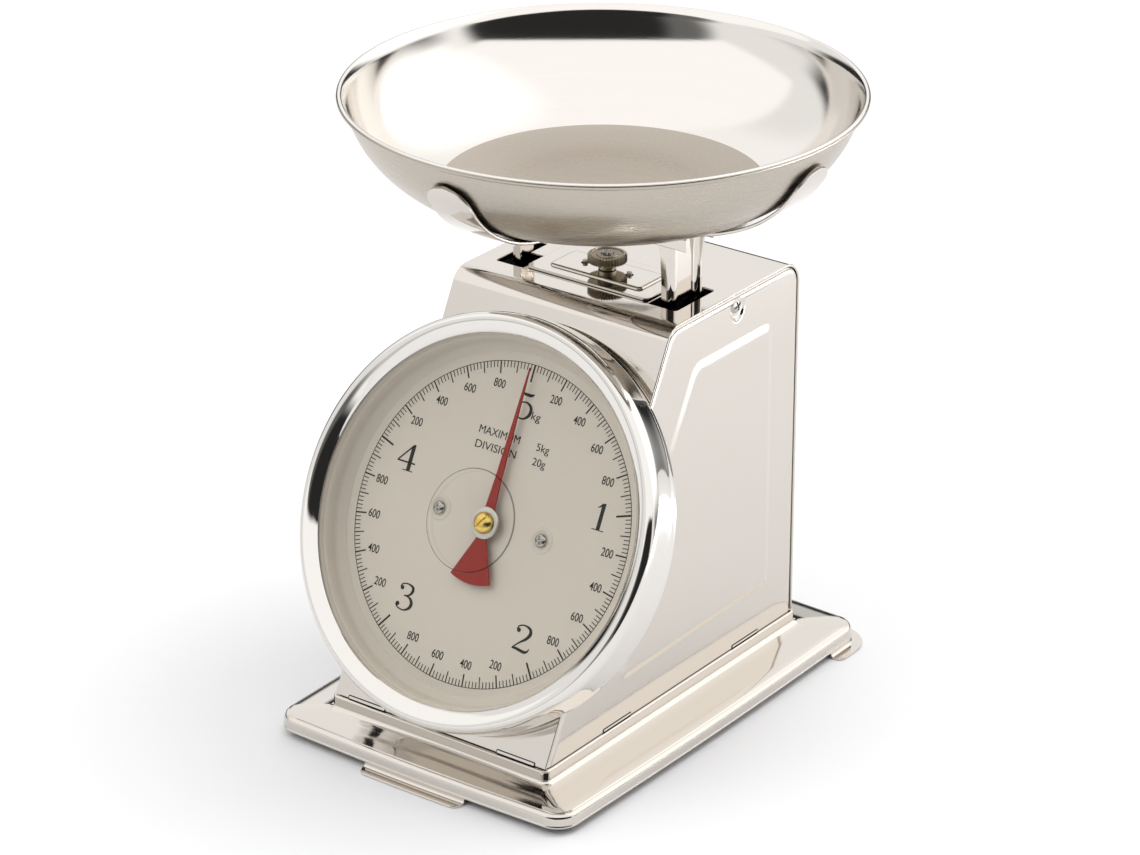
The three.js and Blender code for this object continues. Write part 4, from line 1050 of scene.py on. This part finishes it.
def bowl():
    steps = 64
    outer = [bowl_point(t / steps) for t in range(steps)]
    inner = [bowl_point(t / steps, -BOWL_SHEET) for t in range(steps)]
    centre = (RIM_RADIUS - 1.45, RIM_TOP - 1.45)
    bead = []
    for s in range(15):
        a = math.radians(-150 + 300 * s / 14)
        bead.append((centre[0] + 1.4 * math.cos(a), centre[1] + 1.4 * math.sin(a)))
    floor_out = [(ALMOST_0, BOWL_FLOOR)] + [(r, BOWL_FLOOR) for r in (12, 24, 36, 44)]
    floor_in = [(r, BOWL_FLOOR + BOWL_SHEET) for r in (44, 36, 24, 12, ALMOST_0)]
    profile = floor_out + outer + bead + inner[::-1] + floor_in
    dish = solid("bowl_shell", turned(profile, 256, closed=False), BOWL_OUT_SHADED)
    placed(dish, Matrix.Translation((0, BOWL_Y, 0)))
    mesh = dish.data
    mesh.materials.append(BOWL_IN)
    mesh.materials.append(BOWL_FLOOR_SHADE)
    # Inside faces take the inside steel, and those on the floor near the middle its darker copy, which is
    # painted shade.
    for face in mesh.polygons:
        away = face.center - Vector((0, BOWL_Y * MM, face.center.z))
        if face.normal.dot(away) < 0 or face.normal.z > 0.7:
            face.material_index = 2 if away.length < SHADED_FLOOR_RADIUS * MM else 1
    finished(dish, "bowl", "satin_steel", "bowl", sharp=50, weighted=False)


bowl()

# ---- seat, beam and posts
ARM_HALF = 11.5
ARM_SHEET = 1.5
ARM_TIP_GAP = 1.1
ARM_END = 0.925
BEAM_SHEET = 1.2
POST_SHEET = 1.3
POST_X = 44


def arm(name, floor_gap, turn, node):
    """A strip along the bowl's underside from tip to tip, with round tongues for ends."""
    steps = 60
    path = []
    for i in range(steps + 1):
        t = ARM_END * i / steps
        rise = math.sin(math.pi / 2 * min(1, 1.6 * i / steps)) ** 2
        gap = floor_gap + (ARM_TIP_GAP - floor_gap) * rise
        path.append((bowl_point(t, gap), bowl_point(t, gap + ARM_SHEET)))
    length = [0.0]
    for a, b in zip(path, path[1:]):
        length.append(length[-1] + math.dist(a[1], b[1]))
    columns = list(zip(*(top + low for top, low in path)))
    # Extra sections close to the tip, where the tongue narrows fast.
    stations = [FLOOR_RADIUS * k / 6 for k in range(6)]
    whole = length[-1]
    along = [whole * k / 40 for k in range(33)]
    along += [whole - ARM_HALF * math.cos(math.radians(a)) for a in range(6, 91, 7)]
    along = sorted(set(round(s, 4) for s in along if s <= whole))
    sections = []
    for x in stations:
        sections.append(((x, path[0][0][1]), (x, path[0][1][1]), ARM_HALF))
    for s in along:
        x0, z0, x1, z1 = (np.interp(s, length, column) for column in columns)
        left = whole - s
        half = ARM_HALF if left >= ARM_HALF else math.sqrt(max(0, ARM_HALF**2 - (ARM_HALF - left) ** 2))
        sections.append(((x0, z0), (x1, z1), max(half, 0.6)))
    sections = [((-t[0], t[1]), (-l[0], l[1]), h) for t, l, h in sections[:0:-1]] + sections
    rings = []
    for top, low, half in sections:
        edge = min(0.45, half * 0.4)
        soft = [(-half + edge, 0), (half - edge, 0), (half - edge * 0.3, 0.1), (half, 0.3)]
        soft += [(half, 0.7), (half - edge * 0.3, 0.9), (half - edge, 1), (-half + edge, 1)]
        soft += [(-half + edge * 0.3, 0.9), (-half, 0.7), (-half, 0.3), (-half + edge * 0.3, 0.1)]
        ring = []
        for y, share in soft:
            x = low[0] + (top[0] - low[0]) * share
            z = low[1] + (top[1] - low[1]) * share
            ring.append((x, y, z))
        rings.append(ring)
    strip = solid(name, loft(rings), MIRROR)
    placed(strip, Matrix.Translation((0, BOWL_Y, 0)) @ Matrix.Rotation(turn, 4, "Z"))
    finished(strip, "platform", "polished_steel", node, sharp=50)


def beam():
    path = [(beam_low.y + 0.1, beam_low.z, 0), (beam_low.y, beam_high.z, 2.2)]
    path += [(beam_high.y, beam_high.z, 2.2), (beam_high.y - 0.1, beam_low.z, 0)]
    path = rounded(path, closed=False, steps=6)
    channel = solid("beam", prism(thick(path[::-1], BEAM_SHEET), "x", beam_low.x, beam_high.x), MIRROR)
    bevelled(channel, 0.3, 2, 50)
    finished(channel, "platform", "polished_steel", "carrier_beam", sharp=60)


def post(name, side):
    """A folded upright: a front flange turned in, the wall, and a back ear turned out."""
    front = post_low.y
    back = post_high.y
    bottom = post_low.z
    top = post_high.z
    inner = POST_X - POST_SHEET
    flange_top = top - 2.5

    def width_at(z, table):
        return np.interp(z, *zip(*table))

    flange = [(bottom, 4.5), (flange_top - 20, 4.5), (flange_top - 7, 5.2)]
    flange += [(flange_top - 3, 6.4), (flange_top - 1, 8.4), (flange_top, 10.5), (top, 10.5)]
    ear = [(bottom, 0.2), (BODY_TOP + 3, 0.2), (BODY_TOP + 6, 0.8), (BODY_TOP + 24, 3.6)]
    ear += [(flange_top, 4.2), (top, 4.2)]
    levels = [bottom, BODY_TOP - 20, BODY_TOP + 3]
    levels += [BODY_TOP + 3 + (flange_top - BODY_TOP - 3) * k / 30 for k in range(1, 31)]
    rings = []
    for z in levels:
        path = [(inner - width_at(z, flange), front, 0), (POST_X, front, 3.6)]
        path += [(POST_X, back - POST_SHEET, 2.4)]
        path += [(POST_X + max(2.5, width_at(z, ear)), back - POST_SHEET, 0)]
        path = rounded(path, closed=False, steps=5)
        rings.append([(side * x, y, z) for x, y in thick(path, POST_SHEET)])
    upright = solid("upright", loft(rings), MIRROR)
    bevelled(upright, 0.25, 2, 50)
    x0, x1 = sorted((side * 27, side * (POST_X - 0.5)))
    tab = solid("tab", prism(oblong(x0, 7.2, x1, 21.2), "z", top - 1.3, top), MIRROR)
    bevelled(tab, 0.25, 2, 50)
    both = joined(f"upright_{name}", [upright, tab], MIRROR)
    finished(both, "platform", "polished_steel", f"post_{name}", sharp=55)


arm("seat_strip_y", AIR, math.pi / 2, "cross_arm_y")
arm("seat_strip_x", 2 * AIR + ARM_SHEET, 0, "cross_arm_x")
beam()
for side_name, side in SIDES:
    post(side_name, side)

# ---- zero setting
KNOB_LOW = BODY_TOP + 5.9
KNOB_RADIUS = 8.8
RIDGES = 40
THREAD_PITCH = 0.8
COIL_GAP = 0.7  # under the hanger, which comes down as the knob is turned
COIL_X = 12
COIL_RADIUS = 5.2
COIL_TURNS = 9
WIRE_RADIUS = 0.75


def round_box(name, x, y, low, high, corner, edge, material):
    """A block with round upright corners and a soft top edge, centred on 0, 0."""
    levels = [(0.0, low)] + [(edge * gap, high - edge * drop) for drop, gap in quarter(5)[::-1]]
    rings = []
    for inset, z in levels:
        path = tray_outline(x, -y, y, corner, 0, inset, arc=6, side=4)
        rings.append([(u, v, z) for u, v in path])
    return solid(name, loft(rings), material)


def bridge():
    low = bridge_low.z
    plate = round_box("bridge_base", 33, 15.9, low, low + 0.9, 3.0, 0.35, MIRROR)
    raised = round_box("bridge_top", 25, 10, low, bridge_high.z, 2.6, 1.3, MIRROR)
    holes = []
    for x, radius in ((-12, 1.9), (0, 3), (12, 1.9)):
        holes.append(prism(circle(x, 0, radius, 32), "z", low - 2, low + 6))
    for thing in (plate, raised):
        cut(thing, *holes)
        placed(thing, Matrix.Translation((0, ZERO_Y, 0)))
    both = joined("bridge", [plate, raised], MIRROR)
    finished(both, "housing", "polished_steel", "spring_bridge", sharp=50)


def knob():
    low, high = KNOB_LOW, knob_high.z
    steps = RIDGES * 8
    rings = []
    for z, shrink in ((low, 0.5), (low + 0.35, 0), (high - 0.4, 0), (high, 0.55)):
        ring = []
        for i in range(steps):
            a = 2 * math.pi * i / steps
            r = KNOB_RADIUS - shrink - 0.9 * (0.5 - 0.5 * math.cos(a * RIDGES)) ** 0.6
            ring.append((*polar(r, a), z))
        rings.append(ring)
    inner = [(7.2, high), (6.9, high - 0.45), (5.0, high - 0.45), (4.7, high), (2.9, high), (2.75, low)]
    inner = [[(x, y, z) for x, y in circle(0, 0, r, steps)] for r, z in inner]
    head = solid("knob_head", loft(rings + inner + [rings[0]], caps=False), NICKEL)
    foot_z = knob_low.z
    hub = [(2.75, foot_z), (3.9, foot_z), (4.1, foot_z + 0.3), (4.1, low + 0.3), (2.75, low + 0.3)]
    neck = solid("knob_neck", turned(hub, 48), NICKEL)
    both = joined("knob", [head, neck], NICKEL)
    placed(both, Matrix.Translation((0, ZERO_Y, 0)))
    finished(both, "zero_knob", "nickel", "zero_knob", sharp=40)


def threaded_rod():
    high = rod_high.z
    profile = [(ALMOST_0, high), (1.9, high), (2.3, high - 0.3)]
    z = high - 0.5
    while z > BODY_TOP - 12:
        half = z - THREAD_PITCH / 2
        profile += [(2.5, z), (2.5, z - 0.1), (2.1, half), (2.1, half - 0.1)]
        z -= THREAD_PITCH
    profile += [(2.5, z), (2.5, hanger_low.z - AIR), (4.5, hanger_low.z - AIR)]
    profile += [(4.5, rod_low.z), (ALMOST_0, rod_low.z)]
    rod = solid("screw_rod", turned(profile, 48, closed=False), SPRING)
    cut(rod, prism(oblong(-0.4, -4, 0.4, 4), "z", high - 0.7, high + 1))
    placed(rod, Matrix.Translation((0, ZERO_Y, 0)) @ Matrix.Rotation(0.5, 4, "Z"))
    finished(rod, "zero_rod", "spring_steel", "zero_rod", sharp=40)


def spring(name, side):
    """A wound spring, which stretches between the housing and the platform."""
    low, high = spring_low.z + WIRE_RADIUS, spring_high.z - WIRE_RADIUS - COIL_GAP
    steps = COIL_TURNS * 28
    centres = []
    for i in range(steps + 1):
        a = 2 * math.pi * COIL_TURNS * i / steps
        z = low + (high - low) * i / steps
        centres.append(Vector((*polar(COIL_RADIUS, a), z)))
    rings = []
    for i, p in enumerate(centres):
        along = (centres[min(i + 1, steps)] - centres[max(i - 1, 0)]).normalized()
        out = Vector((p.x, p.y, 0)).normalized()
        over = along.cross(out)
        rings.append([tuple(p + out * u + over * v) for u, v in circle(0, 0, WIRE_RADIUS, 10)])
    wound = solid(f"coil_{name}", loft(rings), SPRING)
    placed(wound, Matrix.Translation((side * COIL_X, ZERO_Y, 0)))
    mesh = wound.data
    mesh.polygons.foreach_set("use_smooth", [True] * len(mesh.polygons))
    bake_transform(wound)
    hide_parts(f"spring_{name}")


bridge()
knob()
threaded_rod()
for side_name, side in SIDES:
    spring(side_name, side)

# ---- finishes of the CAD nodes that stay
FINISHES = {
    "polished_steel": MIRROR,
    "chrome": CHROME,
    "satin_steel": BOWL_OUT_SHADED,
    "dial_paint": DIAL_PAINT,
    "clear_lens": LENS,
    "red_paint": RED,
    "nickel": NICKEL,
    "brass": BRASS,
    "spring_steel": SPRING,
    "zinc_plate": ZINC,
}
for part in frame["nodes"].values():
    for place in part.material_slots:
        place.material = FINISHES[place.material.name.split(".")[0]]

# ---- floor, light and camera
# How bright each part of the studio is.
BACK_WALL = 1.16
LEFT_WALL = 1.0
CEILING = 1.25
BACK_BOX = 1.6
FRONT_ROOM = 0.16
FRONT_FOOT = 0.72
DARK = 0.026
CAMERA_AZIMUTH = math.radians(36.66)
CAMERA_ELEVATION = math.radians(24.60)
CAMERA_DISTANCE = 1844.2
CAMERA_TARGET = Vector((-10.9, 4.93, 121.3))
CAMERA_LENS = 130.7
EYE = Vector(
    (
        math.sin(CAMERA_AZIMUTH) * math.cos(CAMERA_ELEVATION),
        -math.cos(CAMERA_AZIMUTH) * math.cos(CAMERA_ELEVATION),
        math.sin(CAMERA_ELEVATION),
    )
)
FLOOR_SIDE = 9000
FLOOR_FRONT = -1900
FLOOR_DROP = 0.05


def floor():
    edge = oblong(-FLOOR_SIDE, FLOOR_FRONT, FLOOR_SIDE, FLOOR_SIDE)
    points = [(x, y, -FLOOR_DROP) for x, y in edge]
    object_of("floor", mesh_of("floor", points, [(0, 1, 2, 3)]), FLOOR)


def sky():
    """A studio by direction: a white wall on the left and a grey one elsewhere, a dimmer foot in
    front on the left, a dark foot along the back, dark rooms in front, behind the camera and low
    on the right, a ceiling box and a bright box behind on the right."""
    world = bpy.data.worlds.new("studio")
    bpy.context.scene.world = world
    world.use_nodes = True
    tree = world.node_tree
    where = add_node(tree, "TexCoord", {}, "Generated")
    height = add_node(tree, "SeparateXYZ", {0: where}, "Z")

    def calc(operation, first, second):
        return maths(tree, operation, first, second)

    def smooth(value, start, end):
        inputs = {"Value": value, "From Min": start, "From Max": end}
        return add_node(tree, "MapRange", inputs, "Result", interpolation_type="SMOOTHSTEP")

    def share_of(direction):
        """How much of a direction there is in where a ray goes."""
        return add_node(tree, "VectorMath", {0: where, 1: direction}, "Value", operation="DOT_PRODUCT")

    def towards(direction, start, end):
        """0 further than start degrees from a direction, 1 closer than end degrees."""
        share = share_of(Vector(direction).normalized())
        return smooth(share, math.cos(math.radians(start)), math.cos(math.radians(end)))

    def below(start, end):
        """1 lower than start, 0 higher than end."""
        return calc("SUBTRACT", 1, smooth(height, start, end))

    def painted_over(under, amount, level):
        """What is under it where amount is 0, and level where it is 1."""
        kept = calc("MULTIPLY", under, calc("SUBTRACT", 1, amount))
        return calc("ADD", kept, calc("MULTIPLY", amount, level))

    def slope_along(x, y):
        """How far a direction leans along a level one: the tangent of its angle from upright."""
        return calc("DIVIDE", share_of(Vector((x, y, 0)).normalized()), calc("MAXIMUM", height, 0.05))

    def between(value, low, high, soft):
        past = calc("SUBTRACT", 1, smooth(value, high, high + soft))
        inside = calc("MINIMUM", smooth(value, low - soft, low), past)
        return calc("MULTIPLY", inside, smooth(height, 0.05, 0.1))

    light = painted_over(BACK_WALL, towards((-0.80, -0.60, 0.25), 62, 46), LEFT_WALL)
    front_foot = calc("MULTIPLY", below(0.03, 0.13), towards((-0.54, -0.84, 0), 44, 28))
    light = painted_over(light, front_foot, FRONT_FOOT)
    back_foot = calc("MULTIPLY", below(0.16, 0.27), towards((-0.35, 0.94, 0), 95, 70))
    light = painted_over(light, back_foot, DARK)
    light = painted_over(light, towards((0.10, -0.92, 0.40), 26, 14), FRONT_ROOM)
    room = calc("MAXIMUM", towards(EYE, 33, 24), towards((0.93, -0.31, 0.14), 34, 24))
    light = painted_over(light, room, DARK)
    front, across = slope_along(EYE.x, EYE.y), slope_along(-EYE.y, EYE.x)
    ceiling = calc("MULTIPLY", between(front, -0.62, 1.30, 0.16), between(across, -2.0, 2.0, 0.5))
    light = painted_over(light, ceiling, CEILING)
    light = painted_over(light, towards((0.42, 0.70, 0.58), 42, 23), BACK_BOX)
    feed(tree, tree.nodes["Background"], {"Color": light, "Strength": 1.0})


def softbox(name, place, aim, size, power, spread=180):
    lamp = bpy.data.lights.new(name, "AREA")
    lamp.shape = "RECTANGLE"
    lamp.size, lamp.size_y = size
    lamp.energy = power
    lamp.spread = math.radians(spread)
    thing = bpy.data.objects.new(name, lamp)
    bpy.context.scene.collection.objects.link(thing)
    thing.location = Vector(place)
    thing.rotation_euler = (Vector(aim) - Vector(place)).to_track_quat("-Z", "Y").to_euler()
    thing.visible_camera = False
    thing.visible_glossy = False


def camera():
    data = bpy.data.cameras.new("camera")
    data.lens = CAMERA_LENS
    data.sensor_width = 36
    thing = bpy.data.objects.new("camera", data)
    bpy.context.scene.collection.objects.link(thing)
    thing.location = (CAMERA_TARGET + EYE * CAMERA_DISTANCE) * MM
    thing.rotation_euler = EYE.to_track_quat("Z", "Y").to_euler()
    data.clip_end = 50
    bpy.context.scene.camera = thing


floor()
sky()
softbox("front_fill", (-0.5, -1.9, 2.2), (0, -0.1, 0.1), (1.6, 1.2), 12)
softbox("key", (0.55, 0.85, 2.6), (0, 0, 0.1), (1.1, 1.1), 18)
softbox("floor_pool", (0.95, 0.7, 1.0), (0.95, 0.7, 0), (0.5, 0.5), 22, 52)
camera()
bpy.context.scene.view_settings.view_transform = "Standard"
